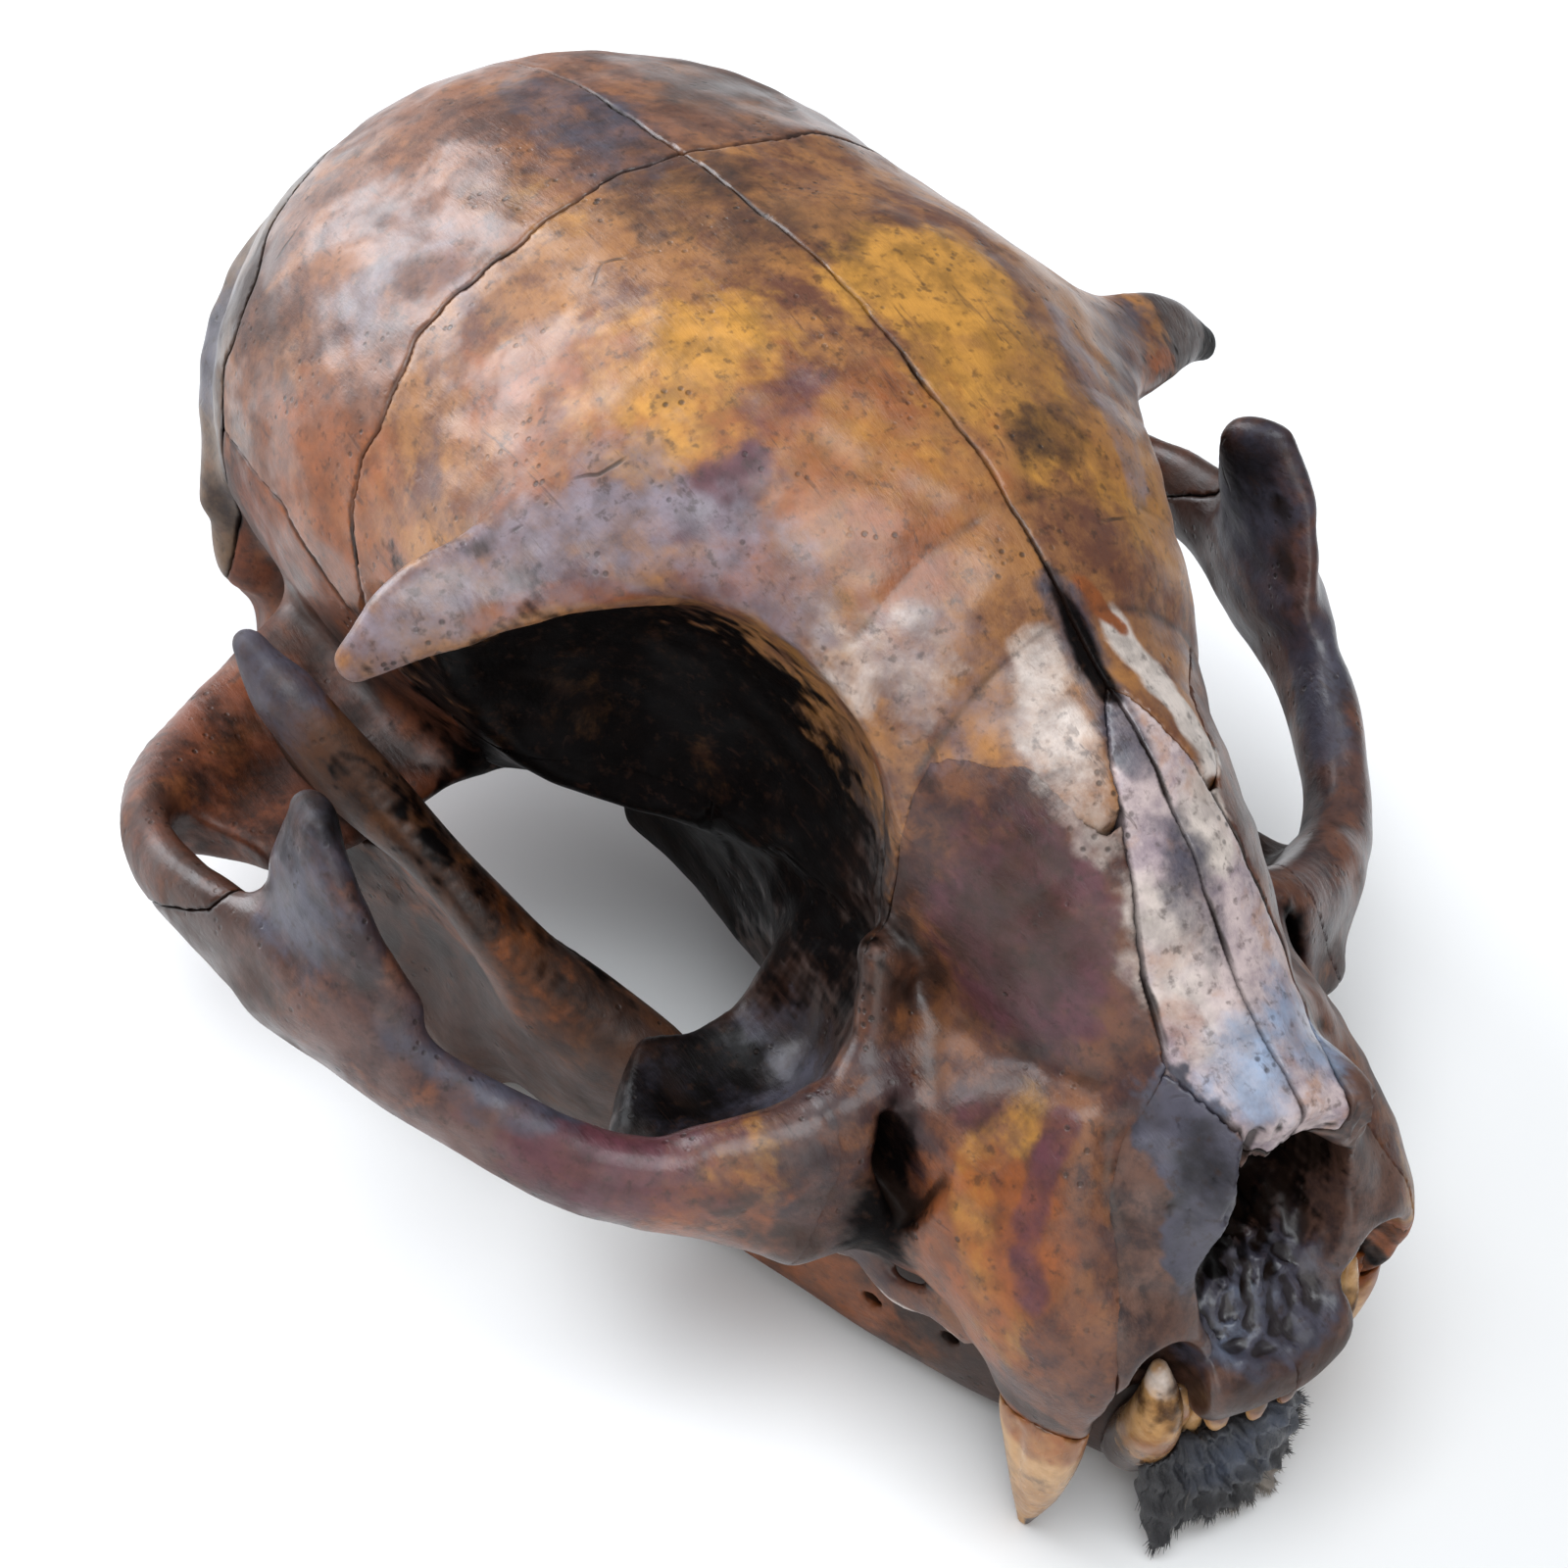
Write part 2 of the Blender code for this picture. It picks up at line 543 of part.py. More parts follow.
def share_out(skull):
    """Make an object of each piece of the parted skull, named by the bone place nearest its middle."""
    places = bone_places()
    bones = {}
    for piece in sorted(loose_pieces(skull), key=len, reverse=True):
        middle = sum((skull.data.vertices[index].co for index in piece), Vector()) / len(piece)
        free = [key for key in places if key not in bones]
        name = min(free, key=lambda key: (places[key][0] - middle).length)
        editor = bmesh.new()
        editor.from_mesh(skull.data)
        editor.verts.ensure_lookup_table()
        keep = set(piece)
        bmesh.ops.delete(editor, geom=[vertex for vertex in editor.verts if vertex.index not in keep])
        bones[name] = object_from(name, editor)
    bpy.data.objects.remove(skull)
    return bones


def material(name, bone):
    """Make a bone's material."""
    made = bpy.data.materials.new(name)
    made.use_nodes = True
    shader = made.node_tree.nodes["Principled BSDF"]
    shader.inputs["Base Color"].default_value = (*bone.colour, 1.0)
    shader.inputs["Roughness"].default_value = bone.roughness
    shader.inputs["Metallic"].default_value = 0.0
    return made


def place(obj, middle, finish, origin):
    """Put a piece's origin at its middle, and set the piece in the world, in metres."""
    obj.data.transform(Matrix.Scale(MM, 4) @ Matrix.Translation(-middle))
    obj.location = (middle - Vector((0, MIDDLE, FLOOR))) * MM
    obj.parent = origin
    obj.data.materials.clear()
    obj.data.materials.append(finish)
    obj.data.shade_smooth()


def mirrored_copy(obj, name):
    """Make the other side's copy of a piece."""
    editor = bmesh.new()
    editor.from_mesh(obj.data)
    bmesh.ops.scale(editor, vec=(-1, 1, 1), verts=editor.verts)
    return object_from(name, editor)


def add_pair(name, mass, step, triangles, bone, origin):
    """Make both sides of a piece that was shaped for one side."""
    field, first = mass.one_side()
    left = skin(f"{name}_left", field, first, step, triangles)
    right = mirrored_copy(left, f"{name}_right")
    finish = material(name, bone)
    x, y, z = bone.middle
    place(left, Vector((x, y, z)), finish, origin)
    place(right, Vector((-x, y, z)), finish, origin)


def add_cranium(origin):
    field, first = shape_cranium(CRANIUM_STEP).both_sides()
    skull = skin("cranium", field, first, CRANIUM_STEP, CRANIUM_TRIANGLES)
    part_with_blades(skull)
    finishes = {name: material(name, bone) for name, bone in BONES.items()}
    places = bone_places()
    for name, obj in share_out(skull).items():
        middle, _ = places[name]
        place(obj, middle, finishes[name.split("_")[0]], origin)


def add_jaw_teeth_and_skin(origin):
    cranium = shape_cranium(SMALL_STEP)
    mandible = shape_mandible(SMALL_STEP, cranium)
    add_pair("mandible", mandible, SMALL_STEP, MANDIBLE_TRIANGLES, MANDIBLE, origin)
    upper = shape_upper_canine(SMALL_STEP, cranium)
    add_pair("upper_canine", upper, SMALL_STEP, CANINE_TRIANGLES, CANINE, origin)
    lower = shape_lower_canine(SMALL_STEP, cranium, mandible)
    add_pair("lower_canine", lower, SMALL_STEP, CANINE_TRIANGLES, CANINE, origin)
    field, first = shape_chin_skin(SMALL_STEP, mandible, lower)
    chin = skin("chin_skin", field, first, SMALL_STEP, CHIN_TRIANGLES)
    place(chin, Vector(CHIN_SKIN.middle), material("chin_skin", CHIN_SKIN), origin)


def main():
    for obj in list(bpy.data.objects):
        bpy.data.objects.remove(obj)
    origin = bpy.data.objects.new("skull", None)
    bpy.context.scene.collection.objects.link(origin)
    add_cranium(origin)
    add_jaw_teeth_and_skin(origin)


if __name__ == "__main__":
    main()
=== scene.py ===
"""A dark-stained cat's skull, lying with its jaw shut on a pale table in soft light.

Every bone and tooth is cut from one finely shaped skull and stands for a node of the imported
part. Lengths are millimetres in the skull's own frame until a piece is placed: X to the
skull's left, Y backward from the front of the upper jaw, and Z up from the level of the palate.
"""

import logging
import math
from dataclasses import dataclass
from enum import Enum
from typing import Callable, Sequence

import bpy
import numpy as np
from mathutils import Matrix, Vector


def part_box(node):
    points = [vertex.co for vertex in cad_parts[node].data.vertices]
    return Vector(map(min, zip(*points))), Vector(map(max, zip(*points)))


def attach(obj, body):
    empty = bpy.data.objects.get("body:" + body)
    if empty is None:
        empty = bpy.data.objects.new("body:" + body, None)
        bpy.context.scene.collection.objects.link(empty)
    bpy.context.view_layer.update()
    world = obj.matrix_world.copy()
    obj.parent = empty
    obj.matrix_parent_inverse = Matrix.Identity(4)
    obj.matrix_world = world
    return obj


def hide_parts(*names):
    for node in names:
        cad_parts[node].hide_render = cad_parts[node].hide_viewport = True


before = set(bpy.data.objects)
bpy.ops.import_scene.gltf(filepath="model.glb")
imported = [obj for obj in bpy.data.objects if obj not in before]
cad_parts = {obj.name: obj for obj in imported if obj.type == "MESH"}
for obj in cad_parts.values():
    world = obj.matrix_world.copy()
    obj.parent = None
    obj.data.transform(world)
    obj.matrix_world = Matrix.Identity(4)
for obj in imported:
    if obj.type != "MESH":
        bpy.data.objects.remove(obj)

import openvdb
from mathutils import Matrix, Vector

logging.basicConfig(level=logging.INFO, format="%(message)s")
log = logging.getLogger("skull")

Point = tuple[float, float, float]
Line = Sequence[Sequence[float]]

MM = 0.001
ORIGIN: Point = (0.0, 42.1, -10.8)      # the world's origin in the skull's frame
STEP = 0.2      # fineness of the shaping
FAR = 50.0                              # what a field holds far from any surface
TINY = 1e-6                             # keeps a divisor clear of zero
SEAM = 0.06                             # gap along a suture
EDGE = 0.10                             # how far a suture's edges are rounded
HIDDEN_DEPTH, HIDDEN_CELL = 0.9, 1.2    # faces deeper than this in the skull are merged in cells
CELL_ROW = 4096                         # more cells than lie along any axis
JAW_CLEARANCE = 0.5
NO_SEAM = 5.0                           # a distance at which no suture darkens the surface
SEED = 11

UP: Point = (0.0, 0.0, 1.0)
BACK: Point = (0.0, 1.0, 0.0)
SIDE: Point = (1.0, 0.0, 0.0)

BRAINCASE_CENTRE: Point = (0.0, 60.5, 17.8)
BRAINCASE_RADII: Point = (21.3, 21.8, 17.7)
ORBIT_CENTRE: Point = (22.4, 33.5, 18.4)
ORBIT_RADII: Point = (14.4, 13.2, 14.6)


class Layer(Enum):
    """What a vertex mask paints, staining or painted light and shade, and the name of its mesh
    attribute.
    """

    # yellow-brown stain, and a painted orange highlight along the front of the near cheek arch
    OCHRE = "ochre"
    # orange-brown stain, and a painted orange highlight along the brow rims
    RUST = "rust"
    # dark brown stain, and painted shade on the orbits' walls and floors
    UMBER = "umber"
    # black stain, and painted shade in the orbits, the nose passage, the foramina and the recesses
    # of the skull
    PITCH = "pitch"
    # blue-grey tone, a painted blue-grey sheen on the brow, the arches and the vault, and painted
    # shade on the near orbit's floor
    SLATE = "slate"
    WINE = "wine"
    # pinkish-grey tone, and a painted pinkish-grey sheen on the brow and the vault
    ASH = "ash"
    # a painted bluish reflection on the nasal bones, the nose's floor and the chin's skin
    BLUE = "blue"
    CREAM = "cream"
    SEAM = "seam"
    # painted shade in the hollows, taken from how the surface bends
    HOLLOW = "hollow"


# ---------------------------------------------------------------- shapes


def unit(vectors: np.ndarray) -> np.ndarray:
    """Return rows of vectors at a length of 1."""
    return vectors / np.maximum(np.linalg.norm(vectors, axis=1, keepdims=True), TINY)


def level_at(place: np.ndarray, line: Line) -> np.ndarray:
    """Return a value given along a line of pairs (place, value), at each place."""
    return np.interp(place, *np.array(line).T).astype(np.float32)


@dataclass(frozen=True)
class Ball:
    """An ellipsoid, turned by pitch about X and yaw about Z, in degrees."""

    centre: Point
    radii: Point
    pitch: float = 0.0
    yaw: float = 0.0

    def box(self) -> list[tuple[float, float]]:
        """Return the low and high limit along each axis."""
        reach = max(self.radii)
        return [(value - reach, value + reach) for value in self.centre]

    def parts(self) -> list["Ball"]:
        """Return the pieces that are measured one at a time."""
        return [self]

    def distance(self, x: np.ndarray, y: np.ndarray, z: np.ndarray) -> np.ndarray:
        """Return about the distance of points from the surface, negative inside."""
        x, y, z = x - self.centre[0], y - self.centre[1], z - self.centre[2]
        sine, cosine = math.sin(math.radians(self.yaw)), math.cos(math.radians(self.yaw))
        x, y = x * cosine + y * sine, y * cosine - x * sine
        sine, cosine = math.sin(math.radians(self.pitch)), math.cos(math.radians(self.pitch))
        y, z = y * cosine + z * sine, z * cosine - y * sine
        return ellipsoid_distance((x, y, z), self.radii)


PARALLEL = 1e-3                         # a wide way shorter than this runs along its bar


@dataclass(frozen=True)
class Link:
    """A stretch of a bar: rows hold x, y, z, half width, half thickness and the wide way."""

    start: np.ndarray
    end: np.ndarray

    def box(self) -> list[tuple[float, float]]:
        """Return the low and high limit along each axis."""
        reach = max(self.start[3], self.start[4], self.end[3], self.end[4])
        low = np.minimum(self.start[:3], self.end[:3]) - reach
        high = np.maximum(self.start[:3], self.end[:3]) + reach
        return list(zip(low, high))

    def distance(self, x: np.ndarray, y: np.ndarray, z: np.ndarray) -> np.ndarray:
        """Return about the distance of points from the surface, negative inside."""
        start, end = self.start.astype(np.float32), self.end.astype(np.float32)
        run = end[:3] - start[:3]
        length = max(float(np.linalg.norm(run)), TINY)
        along = run / length
        wide = (start[5:] + end[5:]) / 2
        wide = wide - along * (wide @ along)
        if np.linalg.norm(wide) < PARALLEL:
            other = np.roll(along, 1)
            wide = other - along * (other @ along)
        wide /= np.linalg.norm(wide)
        thick = np.cross(along, wide)
        x, y, z = x - start[0], y - start[1], z - start[2]
        share = np.clip((x * along[0] + y * along[1] + z * along[2]) / length, 0, 1)
        x, y, z = x - run[0] * share, y - run[1] * share, z - run[2] * share
        half_width = start[3] + (end[3] - start[3]) * share
        half_thick = start[4] + (end[4] - start[4]) * share
        offset = [x * axis[0] + y * axis[1] + z * axis[2] for axis in (wide, thick, along)]
        return ellipsoid_distance(offset, (half_width, half_thick,
                                           np.minimum(half_width, half_thick)))


@dataclass(frozen=True)
class Bar:
    """An oval bar along a spline of stations (x, y, z, half width, half thickness)."""

    stations: Line
    wide: Sequence = UP
    steps: int = 12

    def samples(self) -> np.ndarray:
        """Return rows along the spline, each with its wide way."""
        stations = np.asarray(self.stations, float)
        wide = np.broadcast_to(np.asarray(self.wide, float), (len(stations), 3))
        return spline(np.hstack([stations, wide]), self.steps)

    def parts(self) -> list[Link]:
        """Return the pieces that are measured one at a time."""
        samples = self.samples()
        return [Link(start, end) for start, end in zip(samples[:-1], samples[1:])]

    def box(self) -> list[tuple[float, float]]:
        """Return the low and high limit along each axis."""
        boxes = np.array([part.box() for part in self.parts()])
        return list(zip(boxes[:, :, 0].min(axis=0), boxes[:, :, 1].max(axis=0)))


@dataclass(frozen=True)
class Flat:
    """A half space that ends at a point, solid on the side its normal points away from."""

    point: Point
    normal: Point

    def box(self) -> list[tuple[float, float]]:
        """Return the low and high limit along each axis."""
        return [(-200.0, 200.0)] * 3

    def parts(self) -> list["Flat"]:
        """Return the pieces that are measured one at a time."""
        return [self]

    def distance(self, x: np.ndarray, y: np.ndarray, z: np.ndarray) -> np.ndarray:
        """Return the distance of points from the plane, negative inside."""
        normal = np.asarray(self.normal, np.float32) / np.float32(np.linalg.norm(self.normal))
        offset = (x - self.point[0], y - self.point[1], z - self.point[2])
        return sum(value * share for value, share in zip(offset, normal))


Shape = Ball | Bar | Flat


def ellipsoid_distance(offset: Sequence, radii: Sequence) -> np.ndarray:
    """Return about the distance from an ellipsoid's surface.

    Args:
        offset: the three coordinates from the centre, along the radii.
        radii: the three radii, as numbers or arrays.

    Returns:
        The distances, negative inside.
    """
    shares = [value / radius for value, radius in zip(offset, radii)]
    scaled = np.sqrt(sum(share * share for share in shares))
    slope = np.sqrt(sum((share / radius) ** 2 for share, radius in zip(shares, radii)))
    return scaled * (scaled - 1) / np.maximum(slope, TINY)


LEAST_BLEND = 1e-4


def smooth_minimum(a: np.ndarray, b: np.ndarray, blend: float | np.ndarray) -> np.ndarray:
    """Return the lesser of two fields, run into each other over a blend width."""
    blend = np.maximum(blend, LEAST_BLEND)
    overlap = np.maximum(blend - np.abs(a - b), 0) / blend
    return np.minimum(a, b) - overlap * overlap * (blend / 4)


def smooth_maximum(a: np.ndarray, b: np.ndarray, blend: float | np.ndarray) -> np.ndarray:
    """Return the greater of two fields, run into each other over a blend width."""
    return -smooth_minimum(-a, -b, blend)


def spline(rows: np.ndarray, count: int) -> np.ndarray:
    """Return `count` rows along a Catmull-Rom spline through the rows given."""
    rows = np.vstack([2 * rows[0] - rows[1], rows, 2 * rows[-1] - rows[-2]])
    place = np.linspace(0, len(rows) - 3, count)
    index = np.minimum(place.astype(int), len(rows) - 4)
    t = (place - index)[:, None]
    a, b, c, d = (rows[index + i] for i in range(4))
    square, cube = 2 * a - 5 * b + 4 * c - d, 3 * b - a - 3 * c + d
    return 0.5 * (2 * b + (c - a) * t + square * t ** 2 + cube * t ** 3)


class Mass:
    """A smooth solid on a grid, as each point's distance from the surface, negative inside."""

    MARGIN = 0.6                        # how far round a shape it is measured, past its blend

    def __init__(self, step: float, low: Point, high: Point) -> None:
        """Make an empty grid.

        Args:
            step: the spacing of the grid.
            low: its lowest corner.
            high: its highest corner.
        """
        self.step = step
        self.axes = [np.arange(a, b, step, dtype=np.float32) for a, b in zip(low, high)]
        self.field = np.full([len(axis) for axis in self.axes], FAR, np.float32)

    @classmethod
    def for_one_side(cls, step: float) -> "Mass":
        """Return an empty grid round the skull's left half, which starts half a step from X = 0."""
        return cls(step, (step / 2, -3.0, -13.0), (37.0, 88.0, 39.5))

    @property
    def first(self) -> np.ndarray:
        """The grid's first point."""
        return np.array([axis[0] for axis in self.axes])

    def slices(self, box: Sequence, reach: float) -> tuple[slice, ...]:
        """Return the grid's part within reach of a box."""
        return tuple(slice(*np.searchsorted(axis, (low - reach, high + reach)))
                     for axis, (low, high) in zip(self.axes, box))

    def coordinates(self, part: Sequence[slice] = (slice(None),) * 3) -> tuple[np.ndarray, ...]:
        """Return x, y and z of a part of the grid, ready to broadcast."""
        x, y, z = (axis[cut] for axis, cut in zip(self.axes, part))
        return x[:, None, None], y[None, :, None], z[None, None, :]

    def near(self, shape: Shape, blend: float) -> tuple[tuple[slice, ...], np.ndarray]:
        """Return the grid's part near a shape, and the shape's distances there."""
        reach = blend + 2 * self.step + self.MARGIN
        part = self.slices(shape.box(), reach)
        distance = np.full([cut.stop - cut.start for cut in part], FAR, np.float32)
        for piece in shape.parts():
            inner = self.slices(piece.box(), reach)
            local = tuple(slice(a.start - b.start, a.stop - b.start) for a, b in zip(inner, part))
            if 0 in distance[local].shape:
                continue
            found = piece.distance(*self.coordinates(inner)).astype(np.float32)
            distance[local] = np.minimum(distance[local], found)
        return part, distance

    def add(self, shape: Shape, blend: float = 1.0) -> None:
        """Join a shape to the solid, with a fillet as wide as the blend."""
        part, distance = self.near(shape, blend)
        self.field[part] = smooth_minimum(self.field[part], distance, blend)

    def cut(self, shape: Shape, blend: float = 1.0) -> None:
        """Take a shape out of the solid."""
        part, distance = self.near(shape, blend)
        self.field[part] = -smooth_minimum(-self.field[part], distance, blend)

    def keep_clear_of(self, other: "Mass", gap: float) -> None:
        """Take away what lies within a gap of another solid on the same grid."""
        self.field = smooth_maximum(self.field, gap - other.field, 0.2)

    def keep_clear_of_half(self, other: "Mass", gap: float) -> None:
        """Take away what lies within a gap of a one-sided solid, on a grid of its own."""
        near = self.field < 1.0
        points = self.first + np.argwhere(near) * self.step
        points[:, 0] = np.abs(points[:, 0])
        self.field[near] = np.maximum(self.field[near], gap - other.sample(points))

    def mirrored(self) -> "Mass":
        """Return the solid with its mirror image; its grid starts half a step from X = 0."""
        whole = Mass.__new__(Mass)
        whole.step = self.step
        whole.axes = [np.concatenate([-self.axes[0][::-1], self.axes[0]]), self.axes[1],
                      self.axes[2]]
        whole.field = np.concatenate([self.field[::-1], self.field])
        return whole

    def sample(self, points: np.ndarray) -> np.ndarray:
        """Return the field at points, between the grid's own."""
        place = (points - self.first) / self.step
        limit = np.array(self.field.shape) - 2
        base = np.clip(np.floor(place).astype(int), 0, limit)
        share = np.clip(place - base, 0, 1)
        value = np.zeros(len(points))
        for corner in range(8):
            step = np.array([corner >> i & 1 for i in range(3)])
            weight = np.prod(np.where(step, share, 1 - share), axis=1)
            index = base + step
            value += weight * self.field[index[:, 0], index[:, 1], index[:, 2]]
        return value

    def slope(self, points: np.ndarray, reach: float) -> np.ndarray:
        """Return the field's slope at points, which points outward."""
        steps = np.eye(3) * reach
        rises = [self.sample(points + way) - self.sample(points - way) for way in steps]
        return np.stack(rises, 1) / (2 * reach)

    def bulge(self, points: np.ndarray, reach: float) -> np.ndarray:
        """Return how the surface bulges at points: positive on ridges, negative in hollows."""
        steps = np.eye(3) * reach
        around = sum(self.sample(points + way) + self.sample(points - way) for way in steps)
        return (around - 6 * self.sample(points)) / reach

    def onto_surface(self, points: np.ndarray) -> np.ndarray:
        """Return points moved onto the nearest surface."""
        for _ in range(6):
            slope = unit(self.slope(points, 2 * self.step))
            points = points - slope * self.sample(points)[:, None]
        return points

    def ripple(self, height: float, length: float, waves: int, seed: int) -> None:
        """Make the surface uneven with a sum of waves.

        Args:
            height: about the greatest rise and fall.
            length: the waves' length.
            waves: how many waves run through each other.
            seed: what the waves' ways and phases are drawn from.
        """
        random = np.random.default_rng(seed)
        total = np.zeros(self.field.shape, np.float32)
        for _ in range(waves):
            way = random.normal(size=3)
            way *= 2 * math.pi / (length * random.uniform(0.7, 1.5) * np.linalg.norm(way))
            phase = random.uniform(0, 2 * math.pi)
            x, y, z = (np.exp(1j * axis * turn).astype(np.complex64)
                       for axis, turn in zip(self.axes, way))
            x = x * np.exp(1j * phase)
            total += ((x[:, None] * y[None, :]).astype(np.complex64)[:, :, None] * z).real
        self.field += total * (height / math.sqrt(waves))


# ---------------------------------------------------------------- the skull's shape


class SkullShape:
    """The upper skull, shaped for one side, mirrored, then made uneven and worn."""

    # Lines scored into the surface: sutures that don't part two pieces, and creases.
    SCORES: dict[str, Line] = {
        "lacrimal": ((9.4, 27.5, 24), (10, 26.3, 18), (10.4, 24.8, 14.6)),
        "palate": ((0.1, 1.5, 0.2), (0.1, 12, 0.6), (0.1, 23.5, 0.8)),
    }
    SCORE_DEPTH = 0.2
    # How far back the bone beside and above the nose opening is broken off, along x.
    NOSE_RIM: Line = ((-6.5, 5.6), (-5.4, 4.6), (-4.5, 3.2), (-3.9, 3.2), (-3.3, 4.2), (-2.8, 5.0),
                      (-2.1, 4.6), (-1, 4.0), (0, 3.7), (1, 3.4), (3, 3.2), (4, 3.3), (5, 4.0),
                      (6.5, 5.2))
    # Holes for nerves and vessels: centre, then the way they run, then radius and depth.
    FORAMINA: tuple[tuple[Point, Point, float, float], ...] = (
        ((9.6, 41.5, 8.8), (-1, 0.8, 0.0), 0.6, 2.5),
        ((12.5, 46.5, 7.0), (-0.6, 1, 0.1), 0.8, 3.0),
        ((8.5, 57.0, -0.5), (0, 0.2, 1), 0.8, 2.0),
        ((7.6, 74.5, 1.5), (0.3, 0.2, 1), 1.2, 3.0),
        ((4.9, 12.5, 0.5), (0, 0, 1), 0.5, 1.5),
        ((3.0, 5.0, 0.5), (0, 0.2, 1), 1.2, 3.0),
    )

    def __init__(self, step: float) -> None:
        """Shape the skull.

        Args:
            step: the grid's spacing.
        """
        self.half = Mass.for_one_side(step)
        for build in (self.braincase, self.face, self.orbits, self.cheekbones, self.underside,
                      self.nose, self.tooth_row, self.foramina):
            build(self.half)
        self.whole = self.half.mirrored()
        self.whole.ripple(0.10, 9.0, 7, SEED)
        self.whole.ripple(0.035, 2.6, 9, SEED + 1)
        self.broken_nose_tips(self.whole)
        self.dried_tissue(self.whole)
        self.scored = self.score(self.whole)

    @staticmethod
    def braincase(skull: Mass) -> None:
        """The round braincase, its flat rear, and the low crest across the back."""
        x, y, z = BRAINCASE_CENTRE
        skull.add(Ball(BRAINCASE_CENTRE, BRAINCASE_RADII), 0)
        skull.add(Ball((x, y - 12.5, z + 3.7), (19.0, 16.5, 15.2)), 6)
        skull.add(Ball((x, y + 10.0, z - 2.8), (17.8, 12.0, 14.5)), 6)
        skull.cut(Flat((0, 83.5, 12), (0, -1, -0.1)), 3)
        crest = ((18.3, 73.5, 9, 1.2, 1.2), (14.5, 79, 15.5, 1.4, 1),
                 (8, 81.8, 19.5, 1.4, 1), (0, 83, 21.5, 1.6, 1.1))
        skull.add(Bar(crest, (0.2, 0.5, 0.8), 24), 2.5)

    @staticmethod
    def face(skull: Mass) -> None:
        """The forehead, the muzzle with the bulge over each canine root, and the palate."""
        forehead = ((0, 20, 18, 7, 8), (0, 28, 21, 9.5, 10), (0, 36, 23, 15.5, 12.4),
                    (0, 44, 23, 19.5, 12.8))
        skull.add(Bar(forehead, SIDE, 8), 5)
        bridge = ((0, 6, 11.5, 5.4, 6.8), (0, 15, 14.5, 6.8, 8.4), (0, 23, 18.5, 8, 10))
        skull.add(Bar(bridge, SIDE, 7), 4)
        cheek = ((6.8, 5, 4.5, 4, 4), (8.1, 12, 5.5, 5.4, 4.8), (9, 18, 6, 6.6, 5.4),
                 (8.8, 26.4, 5.4, 5.6, 4.8))
        skull.add(Bar(cheek, UP, 8), 4)
        canine_bulge = ((9.1, 6.2, 0.5, 3.2, 2.3), (9, 8.2, 6, 3.3, 2.2),
                        (7.9, 12.4, 13.4, 2.2, 0.9))
        skull.add(Bar(canine_bulge, (0.2, 1, 0), 14), 4)
        incisor_arch = ((6, 3.6, 2.2, 2.2, 1.8), (4, 1.6, 2, 2, 1.8), (0, 0.9, 2, 2, 1.8))
        skull.add(Bar(incisor_arch, UP, 6), 2)
        nostril_edge = ((6.4, 4.4, 3, 1.8, 1.3), (6.1, 5.2, 8, 1.6, 1.2), (5.4, 7, 14, 1.6, 1.2))
        skull.add(Bar(nostril_edge, BACK, 6), 1.5)
        palate = ((0, 22, 8, 7.7, 7), (0, 31, 8, 8.3, 7.1), (0, 39, 8.5, 7.2, 7.4),
                  (0, 52, 9.2, 6.4, 7))
        skull.add(Bar(palate, SIDE, 6), 4)

    @staticmethod
    def orbits(skull: Mass) -> None:
        """The hollow of each orbit, which is open below and behind."""
        x, y, z = ORBIT_CENTRE
        skull.cut(Ball(ORBIT_CENTRE, ORBIT_RADII), 1.2)
        skull.cut(Ball((x - 1.4, y - 3.0, z + 1.6), (13.3, 12.0, 13.3)), 1.2)

    @staticmethod
    def cheekbones(skull: Mass) -> None:
        """The horns above the orbits, the cheek arches, and the shelf over the jaw joint."""
        brow_horn = ((13, 42, 29.2, 3.6, 1.5), (18.5, 43.6, 28.2, 3, 1.2),
                     (23.6, 44.8, 26.4, 2.2, 1), (27, 45.2, 24.2, 1, 0.8))
        lean = ((0, 1, 0.1), (0, 1, 0.2), (0.3, 0.8, 0.4), (0.3, 0.6, 0.5))
        skull.add(Bar(brow_horn, lean, 40), 2)
        orbit_floor = ((13, 21, 4.6, 7, 3), (15.5, 24.5, 4.4, 6.4, 2.4), (19.5, 28, 3.6, 4.8, 1.6))
        skull.add(Bar(orbit_floor, BACK, 16), 3.5)
        orbit_rim = ((10.2, 23.4, 15, 1.4, 1.1), (11.8, 21.4, 11.2, 1.7, 1.3),
                     (15.0, 20.4, 8.4, 2, 1.5), (20, 21.6, 7.2, 2, 1.5))
        skull.add(Bar(orbit_rim, UP, 30), 2.5)
        skull.cut(Ball((15.6, 27.0, 11.0), (5.6, 5.0, 6.4)), 2.5)
        arch = ((12.5, 18.5, 7.5, 4.6, 2.4), (18.5, 20.4, 6.4, 3.4, 2.2), (24, 24, 6.2, 2.6, 2),
                (28.3, 30, 7, 2.7, 1.7), (31.3, 37, 7.8, 3.3, 1.6), (33.2, 45, 8, 3.1, 1.6),
                (33.6, 51.5, 7, 2.3, 1.5), (31.6, 56.5, 6, 2, 1.7), (25, 59.8, 5, 1.9, 3.2),
                (17, 61.8, 6, 2.2, 4.6))
        tilt = [(0.1, 0, 1)] * 7 + [(0, -0.3, 1)] + [(0, -0.4, 1)] * 2
        skull.add(Bar(arch, tuple(tilt), 80), 2)
        arch_horn = ((31.3, 38, 9.4, 4.8, 1.5), (31.2, 40.8, 14.5, 4, 1.4),
                     (30.6, 42.4, 18, 2.3, 1.1))
        twist = ((0.35, 1, 0.1), (0, 1, 0), (-0.35, 1, 0))
        skull.add(Bar(arch_horn, twist, 36), 2.5)
